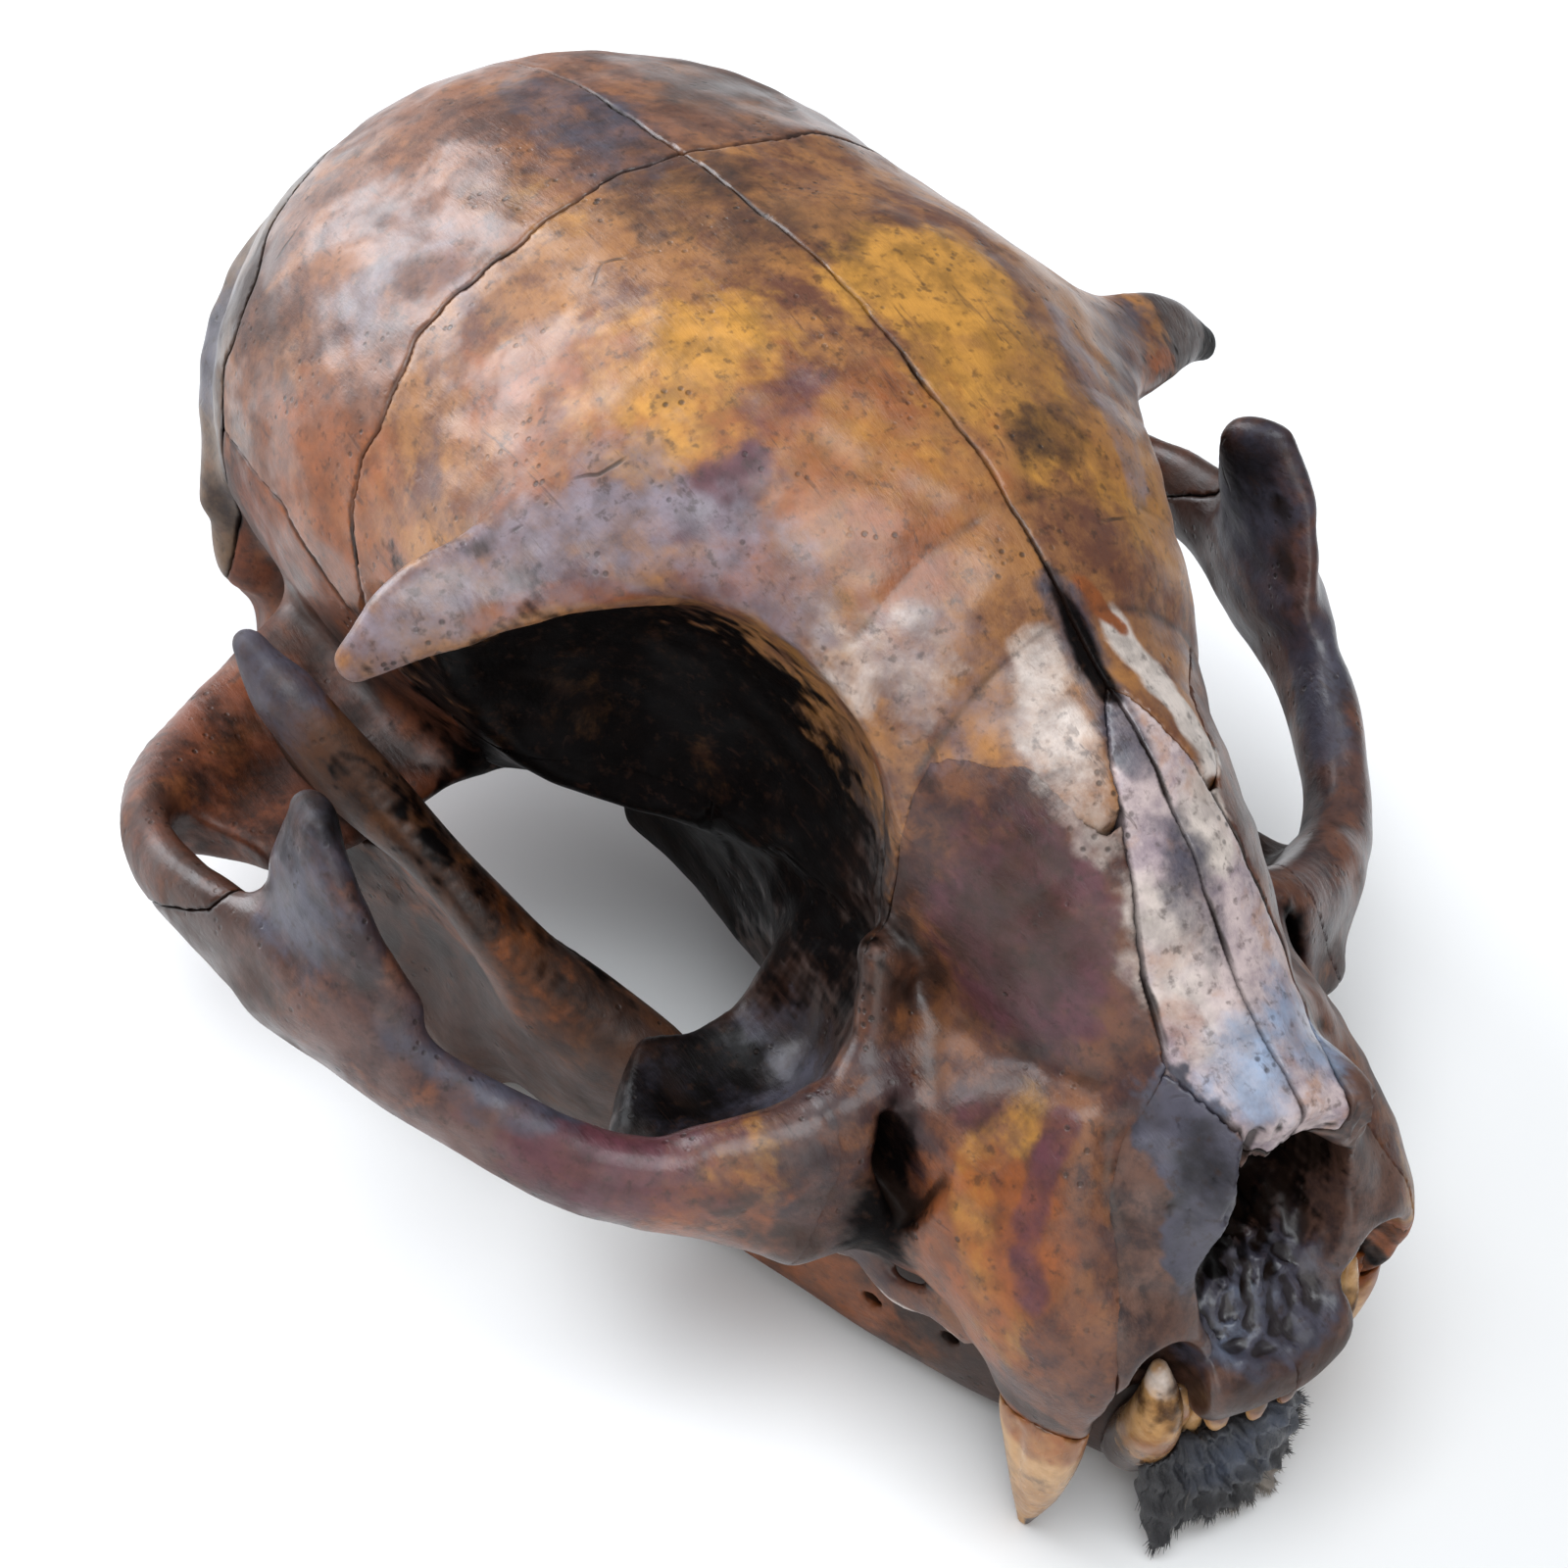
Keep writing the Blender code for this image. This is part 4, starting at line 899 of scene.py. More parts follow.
# The skull's right side faces the camera; patches without a twin are on one side only.
# Most are stains; the ones noted below are painted highlights, sheen, reflections and shade.
STAINS_AND_PAINTED_LIGHT: tuple = (
    # forehead
    Patch(Layer.OCHRE, (-9.5, 45, 35), (5.5, 5.5, 7), 0.8),
    Patch(Layer.OCHRE, (-5, 36, 36), (4, 5, 6), 0.5),
    Patch(Layer.OCHRE, (4.5, 44.5, 37), (5.5, 4, 6), 0.95),
    Patch(Layer.OCHRE, (8.5, 32, 33), (4, 5, 6), 0.45),
    Patch(Layer.OCHRE, (-11, 32.5, 31.5), (3, 4, 5), 0.4),
    Patch(Layer.RUST, (-7, 36, 34), (8, 8, 6), 0.6),
    Patch(Layer.OCHRE, (4, 38, 35.6), (5, 7, 4), 0.6),
    Patch(Layer.WINE, (-11, 39, 33.5), (3.4, 1.8, 3), 0.85),
    Patch(Layer.WINE, (-6.7, 41, 36), (2.8, 1.6, 3), 0.6),
    Patch(Layer.UMBER, (4.4, 34, 35), (2.6, 2.0, 3), 0.75),
    Patch(Layer.RUST, (-14.5, 49, 32), (6, 6, 6), 0.55),
    Patch(Layer.ASH, (-14, 43, 32), (4, 3, 4), 0.35),
    Streak(Layer.ASH, ((11.5, 41, 34.6), (10.4, 36, 33.6), (9.2, 31, 32.4)), 1.6, 0.6),
    Patch(Layer.ASH, (-7, 27, 29.5), (4, 5, 3.5), 0.4),
    Streak(Layer.CREAM, ((-2.3, 25, 30.6), (-3.2, 22.4, 29.0), (-3.7, 19.8, 27.6),
                         (-3.6, 17.6, 26.6)), 2.0, 0.55),
    Patch(Layer.UMBER, (1, 50, 37), (7, 4, 4), 0.4),
    Patch(Layer.UMBER, (-2, 56, 37), (5, 5, 4), 0.6),
    Patch(Layer.CREAM, (-8.2, 29, 29.6), (3, 4, 3.5), 0.5),
    # vault
    # painted pinkish-grey and blue-grey highlight on the near parietal
    Patch(Layer.ASH, (-14, 63, 30), (5, 6, 6), 0.3),
    Patch(Layer.SLATE, (-14.5, 67, 29), (3, 4, 5), 0.3),
    Patch(Layer.UMBER, (-18, 71, 20), (7, 8, 9), 0.45),
    Patch(Layer.PITCH, (-1, 62, 36), (1.6, 6, 5), 0.4),
    Patch(Layer.SLATE, (-2, 65, 35), (3, 8, 5), 0.6),
    Patch(Layer.UMBER, (9, 66, 33), (8, 8, 6), 0.55),
    Patch(Layer.RUST, (-19.5, 58, 20), (4, 9, 8), 0.6),
    Patch(Layer.OCHRE, (-9, 60, 34), (3, 5, 4), 0.35),
    # brow
    # painted blue-grey and pinkish-grey sheen along the near brow
    Streak(Layer.SLATE, ((-25, 45, 25), (-21, 44.2, 28.5), (-16.7, 42, 30.6), (-12.6, 37.6, 32),
                         (-10.6, 33, 31.4)), 3.0, 0.35),
    Streak(Layer.ASH, ((-25, 45, 25), (-21, 44.2, 28.5), (-16.7, 42, 30.6), (-12.6, 37.6, 32),
                       (-10.6, 33, 31.4)), 3.2, 0.6),
    Streak(Layer.WINE, ((-19, 42, 29), (-14.2, 37, 30.4), (-11, 31.4, 29.4)), 1.6, 0.45),
    Streak(Layer.SLATE, ((21, 45, 27), (16, 43, 30), (13, 38, 31)), 2.2, 0.6),
    Patch(Layer.UMBER, (25, 45, 25.4), (6, 4, 4.4), 1.0, 0.3),
    Patch(Layer.PITCH, (27.5, 45.4, 23.8), (2.6, 3, 2.6), 1.0, 0.6),
    # painted orange highlight along both brow rims
    Streak(Layer.RUST, ((-22, 42.4, 27), (-18, 40.6, 28.8), (-14.2, 36.2, 29.2), (-11.2, 31, 28),
                        (-9.6, 27, 25.5)), 0.7, 0.8, True),
    # orbit
    # painted shade, black and dark brown, on the orbits' walls and floors and in the hollows behind
    # them
    Patch(Layer.PITCH, (15, 40, 17.4), (13, 13, 9.6), 1.0, 0.25, True),
    Patch(Layer.PITCH, (11, 34, 14), (6, 10, 9), 0.95, 0.35, True),
    Patch(Layer.UMBER, (10.5, 28, 13), (6, 7, 9), 1.0, 0.4, True),
    Patch(Layer.UMBER, (16, 25, 5), (7, 9, 5), 1.0, 0.35, True),
    Patch(Layer.PITCH, (17, 28, 5), (6, 5, 4), 0.75, 0.5, True),
    Patch(Layer.PITCH, (12, 26, 8.5), (3, 3.6, 3), 0.5, 0.6, True),
    Patch(Layer.PITCH, (8, 46, 6), (12, 12, 9), 0.95, 0.3, True),
    Patch(Layer.SLATE, (-12.2, 28.4, 12), (1.4, 1.8, 3), 0.8),
    Patch(Layer.OCHRE, (-11.6, 25.6, 11.6), (1.0, 1.4, 3), 0.5),
    # muzzle
    Patch(Layer.WINE, (-7.5, 17.5, 21), (4.5, 5.5, 6), 0.8, 0.4),
    Patch(Layer.UMBER, (-7.5, 18, 21), (3.6, 4.5, 5), 0.6, 0.4),
    Patch(Layer.UMBER, (7.5, 17.5, 21), (4.5, 5.5, 6), 0.6, 0.4),
    Streak(Layer.PITCH, ((-10.4, 25.4, 26), (-8.2, 22.6, 27), (-5.2, 17.5, 25)), 0.7, 0.35),
    Streak(Layer.OCHRE, ((-8.8, 13.5, 16), (-9.7, 12.9, 13.6), (-11, 13, 11), (-12.1, 11.4, 9),
                         (-12.3, 9.4, 7)), 1.5, 0.6),
    Patch(Layer.OCHRE, (-12, 8.4, 5), (2, 2.4, 3.4), 0.45),
    Patch(Layer.RUST, (-11.5, 11, 7), (4, 5.5, 7), 0.6),
    Patch(Layer.UMBER, (-10.4, 14.5, 15.5), (3.4, 3.4, 3), 0.6, 0.5),
    Patch(Layer.RUST, (10, 4.5, 2), (3, 3.5, 5), 1.0),
    Patch(Layer.OCHRE, (10, 4, 4), (2, 3, 4), 0.5),
    Streak(Layer.WINE, ((-8.4, 11, 15), (-9.6, 10.2, 12.4), (-10.8, 9.2, 9.8), (-11.3, 7.4, 8)),
           1.1, 0.7),
    Patch(Layer.WINE, (-11.6, 13.6, 13.6), (2.6, 3, 2), 0.6),
    # painted shade in the cheek foramen
    Patch(Layer.PITCH, (12.9, 17.6, 8.8), (1.4, 2.6, 3.2), 0.9, 0.5, True),
    # painted shade under the root of the near arch
    Patch(Layer.PITCH, (-13.8, 16.0, 5.4), (2.0, 2.4, 4.2), 0.95, 0.6),
    # painted shade on the near orbit's floor
    Patch(Layer.SLATE, (-15.5, 26, 6), (5.5, 4.4, 4.4), 0.75, 0.4),
    # painted orange highlight along the rim under the near orbit, into the arch
    Streak(Layer.OCHRE, ((-13.2, 20.4, 10.4), (-15.8, 19.8, 9), (-20, 21.2, 8.6)), 1.0, 0.5),
    Streak(Layer.UMBER, ((-7.6, 8, 10), (-8, 6, 6), (-7.8, 4.4, 3)), 1.4, 0.9),
    Streak(Layer.UMBER, ((-12, 7.4, 0.6), (-11.4, 4.6, 0.8), (-9.4, 3.2, 1)), 0.9, 0.9, True),
    # nose
    Patch(Layer.CREAM, (-2.6, 12.5, 22.6), (2.4, 5, 3), 0.55),
    Streak(Layer.RUST, ((1.0, 28.0, 32.2), (1.7, 26.2, 31.6), (2.5, 24.6, 30.8)), 0.6, 1.0),
    Patch(Layer.RUST, (-3.4, 10, 20.4), (1.4, 1.8, 1.6), 0.5),
    # painted bluish reflection on the tips of the nasal bones
    Patch(Layer.BLUE, (-1.6, 6.8, 19), (2.2, 3.4, 2.6), 0.62, 0.5),
    Patch(Layer.BLUE, (2.6, 7.6, 18.6), (2.2, 3.2, 2.8), 0.6, 0.5),
    Patch(Layer.CREAM, (-1.4, 8, 19.6), (2, 3.6, 2), 0.5, 0.6),
    Patch(Layer.SLATE, (0, 6.5, 18.6), (6, 5.5, 4.4), 0.3, 0.4),
    Patch(Layer.SLATE, (-0.6, 15, 24), (1.8, 7, 3), 0.65),
    Streak(Layer.PITCH, ((0, 28.4, 32.4), (-0.1, 25.4, 31.3), (0, 22, 29.9)), 0.8, 0.95),
    Streak(Layer.SLATE, ((0, 27, 32), (-0.4, 23, 30.3), (-0.6, 19, 28.4)), 1.4, 0.7),
    Streak(Layer.CREAM, ((2.3, 24.6, 30.8), (3.2, 21.6, 28.9), (3.8, 18.4, 27.1)), 1.2, 1.0),
    Patch(Layer.CREAM, (1.8, 16, 26), (1.8, 4, 2), 0.8),
    Patch(Layer.SLATE, (-4.6, 6.0, 15.6), (2.0, 3.9, 4.2), 1.0, 0.2),
    Patch(Layer.SLATE, (-5.0, 4.2, 12), (1.5, 2.6, 3.6), 1.0, 0.2),
    Patch(Layer.PITCH, (-4.5, 5.4, 14.6), (1.3, 2.8, 4.0), 0.45, 0.6),
    # painted shade deep in the nose passage
    Patch(Layer.PITCH, (0, 10.5, 10.5), (6, 8.5, 7.5), 1.0, 0.2),
    Patch(Layer.SLATE, (0, 3.0, 4.4), (5, 4, 2.6), 1.0, 0.4),
    # painted bluish reflection on the glossy tissue on the nose's floor
    Patch(Layer.BLUE, (-1, 2.4, 4.4), (3.4, 2.4, 1.8), 0.35, 0.5),
    # painted shade in the notch beside the incisors
    Patch(Layer.PITCH, (7.4, 2.6, 1.0), (2.6, 3, 3.4), 0.85, 0.4, True),
    Patch(Layer.UMBER, (0, 1, 1.6), (7.5, 3, 2.4), 0.8),
    Streak(Layer.RUST, ((-5.4, 2.4, -0.2), (-2, -0.4, -0.3), (3, -0.2, -0.3)), 0.7, 0.7),
    # cheek arches
    # painted blue-grey sheen along the top of both arches and on their horns
    Streak(Layer.SLATE, ((30.4, 45, 13), (30.6, 40, 12), (29.6, 34, 10), (26, 28, 8.6)), 2.2, 0.75,
           True),
    Patch(Layer.SLATE, (31, 41, 14), (3, 4, 6), 0.8, 0.5, True),
    Patch(Layer.UMBER, (33.5, 47, 7), (4, 10, 6), 0.8, 0.5, True),
    Patch(Layer.PITCH, (30.2, 42.6, 17.4), (2.4, 3.2, 4), 0.6, 0.5, True),
    # painted orange highlight on the front of the near arch
    Patch(Layer.OCHRE, (-18.5, 20.6, 8.4), (3, 2.4, 2), 0.55, 0.5),
    Patch(Layer.WINE, (-24, 24.5, 8), (7, 6, 3), 0.7),
    Patch(Layer.RUST, (-21, 20, 6), (5, 4, 4), 0.6),
    # painted shade round the jaw joints, under the arches
    Patch(Layer.PITCH, (24, 55, 4), (9, 9, 5), 0.6, 0.4, True),
    Patch(Layer.UMBER, (18, 60, 10), (5, 10, 7), 0.5, 0.5, True),
    # rear and underside
    Patch(Layer.SLATE, (-17, 77, 17), (4, 4, 5), 0.8),
    Patch(Layer.UMBER, (0, 84, 12), (18, 6, 12), 0.7),
    # painted shade in the opening at the back of the skull
    Patch(Layer.PITCH, (0, 83, 9.6), (6, 6, 5), 0.95, 0.3),
    Patch(Layer.OCHRE, (12, 63, -3.5), (5, 7, 3), 0.45, 0.5, True),
    Patch(Layer.UMBER, (0, 30, 0), (8, 20, 4), 0.6, 0.5),
    # painted shade in the groove under the skull
    Patch(Layer.PITCH, (0, 47, 4), (6, 10, 4), 0.8, 0.4),
    # lower jaw and chin
    Patch(Layer.RUST, (19, 44, 1), (5, 9, 6), 0.6, 0.5, True),
    Patch(Layer.UMBER, (21, 42, -3), (7, 12, 6), 0.9, 0.5, True),
    Patch(Layer.SLATE, (25.4, 55, 13.4), (3, 4, 4), 0.7, 0.5, True),
    Patch(Layer.RUST, (12, 24, -6), (5, 12, 4), 0.5, 0.5, True),
    Patch(Layer.UMBER, (6, 9, -4.5), (5, 7, 5), 0.95, 0.5, True),
    Patch(Layer.UMBER, (4.6, 5.0, -6), (3, 3.4, 2.4), 1.0, 0.4, True),
    Streak(Layer.CREAM, ((13.6, 22.4, -0.1), (13, 19, -1), (12.5, 15.4, -1.2), (11.2, 11.4, -0.8)),
           0.5, 0.8, True),
    # painted bluish reflection at the top of the chin's skin
    Patch(Layer.BLUE, (0.5, -0.4, -4.2), (4.5, 2, 2.2), 0.7, 0.6),
    Patch(Layer.CREAM, (2.5, -0.6, -9.6), (1.6, 2, 1.4), 1.0, 0.4),
    Patch(Layer.CREAM, (-0.3, -0.6, -9.8), (1.0, 2, 0.8), 0.9, 0.4),
    Streak(Layer.CREAM, ((4.1, 0.6, -4.4), (3.9, 0.6, -7.6)), 0.5, 0.7),
    # canines
    Streak(Layer.UMBER, ((-9.7, 4.6, -8.8), (-9.6, 4.6, -10.6)), 0.35, 1.0),
    Patch(Layer.RUST, (-10.6, 5, -0.8), (3, 3.4, 1.6), 0.7),
    Streak(Layer.UMBER, ((-6.3, 1.0, 1.8), (-6.1, 0.9, -0.2)), 0.18, 0.9),
    Patch(Layer.CREAM, (-6.3, 2.4, 3.2), (1.0, 1.2, 1.1), 0.8),
    Patch(Layer.RUST, (-5.6, 1.6, -2.0), (1.6, 2, 1.3), 0.5),
)


class StainAndPaintedLightPainter:
    """Works out each vertex's masks from the named stains and painted light, the sutures, and the
    painted shade in hollows.
    """

    def __init__(self, scored: list[np.ndarray]) -> None:
        """Keep the scored lines' points.

        Args:
            scored: the points along each line scored into the skull.
        """
        self.scored = scored

    @staticmethod
    def ragged(points: np.ndarray, length: float, phase: float) -> np.ndarray:
        """Return a smooth uneven value between about -1 and 1 at points."""
        turn = points * (2 * math.pi / length)
        x, y, z = turn.T
        bend = np.sin(0.9 * y + phase) + np.sin(1.1 * z - 0.7 * x + 2 * phase)
        fine = np.sin(2.3 * x + 1.7 * y + phase) * np.sin(2.1 * z - 1.9 * y)
        return (np.sin(x + bend) * np.cos(z + 0.6 * bend + phase) + 0.6 * fine) / 1.4

    def patch(self, points: np.ndarray, stain_and_painted_light: Patch, side: int, phase: float) -> np.ndarray:
        """Return one patch's mask at points."""
        centre = np.array(stain_and_painted_light.centre) * (side, 1, 1)
        reach = np.linalg.norm((points - centre) / np.array(stain_and_painted_light.radii), axis=1)
        reach += 0.2 * self.ragged(points, 5.0, phase) + 0.14 * self.ragged(points, 1.7, phase + 2)
        return stain_and_painted_light.strength * self.fade(reach, 1 - stain_and_painted_light.soft, 1 + stain_and_painted_light.soft)

    def streak(self, points: np.ndarray, stain_and_painted_light: Streak, side: int, phase: float) -> np.ndarray:
        """Return one streak's mask at points."""
        line = spline(np.array(stain_and_painted_light.line, float), 8 * len(stain_and_painted_light.line))
        line[:, 0] *= side
        reach = self.line_distance(points, line) / stain_and_painted_light.width
        reach += 0.25 * self.ragged(points, 4.0, phase)
        return stain_and_painted_light.strength * self.fade(reach, 0.5, 1.25)

    @staticmethod
    def line_distance(points: np.ndarray, line: np.ndarray) -> np.ndarray:
        """Return the distance from points to a polyline, and a large value far from it."""
        found = np.full(len(points), FAR)
        near = np.all((points > line.min(0) - 4) & (points < line.max(0) + 4), axis=1)
        if near.any():
            close = points[near]
            best = np.full(len(close), FAR)
            for start, end in zip(line[:-1], line[1:]):
                run = end - start
                share = np.clip((close - start) @ run / max(run @ run, TINY), 0, 1)
                away = close - start - share[:, None] * run
                best = np.minimum(best, np.linalg.norm(away, axis=1))
            found[near] = best
        return found

    @staticmethod
    def fade(value: np.ndarray, full: float, none: float) -> np.ndarray:
        """Return 1 at or below `full` and 0 at or above `none`, with a smooth change between."""
        t = np.clip((none - value) / (none - full), 0, 1)
        return t * t * (3 - 2 * t)

    def masks(self, points: np.ndarray, seam: np.ndarray,
              bulge: np.ndarray) -> dict[Layer, np.ndarray]:
        """Return every layer's mask.

        Args:
            points: the vertices in the skull's frame.
            seam: each vertex's distance from the nearest suture.
            bulge: how the surface bulges at each vertex.

        Returns:
            A value from 0 to 1 for each vertex, by layer.
        """
        masks = {layer: np.zeros(len(points)) for layer in Layer}
        for number, stain_and_painted_light in enumerate(STAINS_AND_PAINTED_LIGHT):
            measure = self.patch if isinstance(stain_and_painted_light, Patch) else self.streak
            for side in ((1, -1) if stain_and_painted_light.twin else (1,)):
                found = measure(points, stain_and_painted_light, side, number * 1.7 + side)
                masks[stain_and_painted_light.layer] = np.maximum(masks[stain_and_painted_light.layer], found)
        masks[Layer.SEAM] = self.fade(seam + 0.05 * self.ragged(points, 3.0, 0.4), 0.05, 0.30)
        for line in self.scored:
            drawn = self.line_distance(points, line)
            masks[Layer.SEAM] = np.maximum(masks[Layer.SEAM], self.fade(drawn, 0.08, 0.32))
        # painted shade: the deeper a vertex lies in a hollow, the darker it is painted
        masks[Layer.HOLLOW] = np.clip(-bulge, 0, 1)
        return masks


# ---------------------------------------------------------------- meshes


@dataclass
class Shell:
    """A closed surface taken from a field: its points in the skull's frame, and its triangles."""

    points: np.ndarray
    faces: np.ndarray

    @classmethod
    def around(cls, values: np.ndarray, first: np.ndarray, step: float) -> "Shell":
        """Return the biggest surface where a field is zero.

        Args:
            values: the field, negative inside.
            first: the first grid point.
            step: the grid's spacing.
        """
        values = np.pad(values, 1, constant_values=step)
        grid = openvdb.FloatGrid(FAR)
        grid.copyFromArray(np.ascontiguousarray(values, dtype=np.float32))
        points, _, quads = grid.convertToPolygons(isovalue=0.0, adaptivity=0.0)
        quads = quads.astype(np.int64)
        a, b, c, d = (points[quads[:, i]] for i in range(4))
        short = np.linalg.norm(a - c, axis=1) <= np.linalg.norm(b - d, axis=1)
        quads = np.where(short[:, None], quads, np.roll(quads, -1, axis=1))
        faces = np.vstack([quads[:, [0, 1, 2]], quads[:, [0, 2, 3]]])
        return cls((points - 1) * step + first, faces).biggest_island().facing_out()

    def biggest_island(self) -> "Shell":
        """Return only the largest connected surface."""
        label = np.arange(len(self.points))
        edges = np.vstack([self.faces[:, [0, 1]], self.faces[:, [1, 2]]])
        while True:
            low = np.minimum(label[edges[:, 0]], label[edges[:, 1]])
            merged = label.copy()
            for end in (0, 1):
                np.minimum.at(merged, label[edges[:, end]], low)
            merged = merged[merged][merged]
            if np.array_equal(merged, label):
                break
            label = merged
        kept = label == np.bincount(label).argmax()
        number = np.cumsum(kept) - 1
        return Shell(self.points[kept], number[self.faces[kept[self.faces[:, 0]]]])

    def facing_out(self) -> "Shell":
        """Return the surface with its faces turned outward."""
        a, b, c = (self.points[self.faces[:, i]] for i in range(3))
        volume = np.einsum("ij,ij->", a, np.cross(b, c))
        return self if volume > 0 else Shell(self.points, self.faces[:, ::-1])

    def merged(self, hidden: np.ndarray, cell: float) -> "Shell":
        """Return the surface with its hidden vertices gathered into cells.

        Args:
            hidden: which vertices are hidden.
            cell: the cells' size.
        """
        place = np.floor(self.points / cell).astype(np.int64)
        key = (place[:, 0] * CELL_ROW + place[:, 1]) * CELL_ROW + place[:, 2]
        key = np.where(hidden, key, key.max() + 1 + np.arange(len(key)))
        _, index, count = np.unique(key, return_inverse=True, return_counts=True)
        points = np.stack([np.bincount(index, self.points[:, i]) / count for i in range(3)], 1)
        faces = index[self.faces]
        a, b, c = faces.T
        faces = faces[(a != b) & (b != c) & (a != c)]
        _, once, times = np.unique(np.sort(faces, axis=1), axis=0, return_index=True,
                                   return_counts=True)
        return Shell(points, faces[once[times == 1]])

    def to_object(self, name: str) -> bpy.types.Object:
        """Return a smooth-shaded object at the origin with its place in its mesh."""
        mesh = bpy.data.meshes.new(name)
        placed = (self.points - ORIGIN) * MM
        mesh.vertices.add(len(placed))
        mesh.vertices.foreach_set("co", placed.ravel())
        mesh.loops.add(self.faces.size)
        mesh.loops.foreach_set("vertex_index", self.faces.ravel())
        mesh.polygons.add(len(self.faces))
        mesh.polygons.foreach_set("loop_start", np.arange(0, self.faces.size, 3))
        mesh.polygons.foreach_set("use_smooth", np.ones(len(self.faces), bool))
        mesh.update(calc_edges=True)
        return in_scene(name, mesh)


def in_scene(name: str, data: bpy.types.ID) -> bpy.types.Object:
    """Return a new object, linked into the scene."""
    obj = bpy.data.objects.new(name, data)
    bpy.context.scene.collection.objects.link(obj)
    return obj


def node_box(node: str, margin: float = 1.5) -> list[tuple[float, float]]:
    """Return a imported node's box in the skull's frame, with a margin round it."""
    low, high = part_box(node)
    low = np.array(low) / MM + ORIGIN - margin
    high = np.array(high) / MM + ORIGIN + margin
    return list(zip(low, high))


def piece_name(name: str, side: int) -> str:
    """Return a piece's own name, which differs from its node's."""
    return {1: "left_", -1: "right_", 0: "whole_"}[side] + name


def linear(tone: str) -> tuple[float, float, float, float]:
    """Return a hex tone such as "cb9d5a" as linear light with full alpha."""
    shares = [int(tone[i:i + 2], 16) / 255 for i in (0, 2, 4)]
    return tuple(s / 12.92 if s <= 0.04045 else ((s + 0.055) / 1.055) ** 2.4
                 for s in shares) + (1.0,)


# ---------------------------------------------------------------- node trees


Value = bpy.types.NodeSocket | float | Sequence[float]


class Sheet:
    """A node tree with short calls for its nodes and links."""

    def __init__(self, tree: bpy.types.NodeTree) -> None:
        """Keep the tree that the calls work on."""
        self.tree = tree

    def node(self, kind: str, values: dict[str | int, Value] | None = None,
             **settings: object) -> bpy.types.Node:
        """Add a node.

        Args:
            kind: the node's type.
            values: for an input's name or number, a constant or the socket that feeds it.
            settings: the node's own properties.
        """
        node = self.tree.nodes.new(kind)
        for key, value in settings.items():
            setattr(node, key, value)
        for key, value in (values or {}).items():
            self.feed(node.inputs[key], value)
        return node

    def feed(self, socket: bpy.types.NodeSocket, value: Value) -> None:
        """Link an input to the socket that feeds it, or set it to a constant."""
        if isinstance(value, bpy.types.NodeSocket):
            self.tree.links.new(value, socket)
        else:
            socket.default_value = value

    def times(self, a: Value, b: Value) -> bpy.types.NodeSocket:
        """Return a product."""
        return self.math("MULTIPLY", a, b)

    def plus(self, a: Value, b: Value, clamp: bool = False) -> bpy.types.NodeSocket:
        """Return a sum, which may be held between 0 and 1."""
        return self.math("ADD", a, b, clamp=clamp)

    def minus(self, a: Value, b: Value) -> bpy.types.NodeSocket:
        """Return a difference."""
        return self.math("SUBTRACT", a, b)

    def math(self, operation: str, *values: Value, clamp: bool = False) -> bpy.types.NodeSocket:
        """Return the result of a Math node."""
        inputs = dict(enumerate(values))
        return self.node("ShaderNodeMath", inputs, operation=operation, use_clamp=clamp).outputs[0]

    def mix(self, share: Value, a: Value, b: Value) -> bpy.types.NodeSocket:
        """Return a mix of two colours."""
        values = {0: share, 6: a, 7: b}
        return self.node("ShaderNodeMix", values, data_type="RGBA").outputs[2]

    def remap(self, value: Value, low: float, high: float, to_low: float = 0.0,
              to_high: float = 1.0) -> bpy.types.NodeSocket:
        """Return a value moved smoothly from one range to another, and held there."""
        return self.node("ShaderNodeMapRange", {0: value, 1: low, 2: high, 3: to_low, 4: to_high},
                         interpolation_type="SMOOTHSTEP").outputs[0]

    def noise(self, vector: Value, scale: Value, detail: float, roughness: float,
              distortion: float = 0.0, pattern: Value = 0.0) -> bpy.types.NodeSocket:
        """Return a noise value; different patterns don't resemble each other."""
        values = {"Vector": vector, "W": pattern, "Scale": scale, "Detail": detail,
                  "Roughness": roughness, "Distortion": distortion}
        return self.node("ShaderNodeTexNoise", values, noise_dimensions="4D").outputs["Fac"]


class MaterialSheet(Sheet):
    """A new material's tree, with its Principled shader."""

    def __init__(self, name: str) -> None:
        """Make the material."""
        self.material = bpy.data.materials.new(name)
        self.material.use_nodes = True
        super().__init__(self.material.node_tree)
        self.place = self.node("ShaderNodeTexCoord").outputs["Object"]

    def mask(self, layer: Layer) -> bpy.types.NodeSocket:
        """Return a vertex mask as a number."""
        return self.node("ShaderNodeAttribute", attribute_name=layer.value).outputs["Fac"]

    def effect(self, tree: bpy.types.NodeTree, **values: Value) -> bpy.types.NodeOutputs:
        """Return the outputs of a shared effect, placed with this material's own values."""
        return self.node("ShaderNodeGroup", {"Vector": self.place, **values},
                         node_tree=tree).outputs

    def bump(self, height: Value, strength: float, distance: float) -> bpy.types.NodeSocket:
        """Return the normal of a fine relief, whose distance is in millimetres."""
        values = {"Height": height, "Strength": strength, "Distance": distance * MM}
        return self.node("ShaderNodeBump", values).outputs[0]

    def shaded(self, values: dict[str, Value]) -> bpy.types.Material:
        """Set the shader's inputs by name, and return the material."""
        for label, value in values.items():
            self.feed(self.tree.nodes["Principled BSDF"].inputs[label], value)
        return self.material


class Sockets(Enum):
    """The kinds of group sockets."""

    NUMBER = "NodeSocketFloat"
    WHOLE = "NodeSocketInt"
    GEOMETRY = "NodeSocketGeometry"
    COLOUR = "NodeSocketColor"
    VECTOR = "NodeSocketVector"


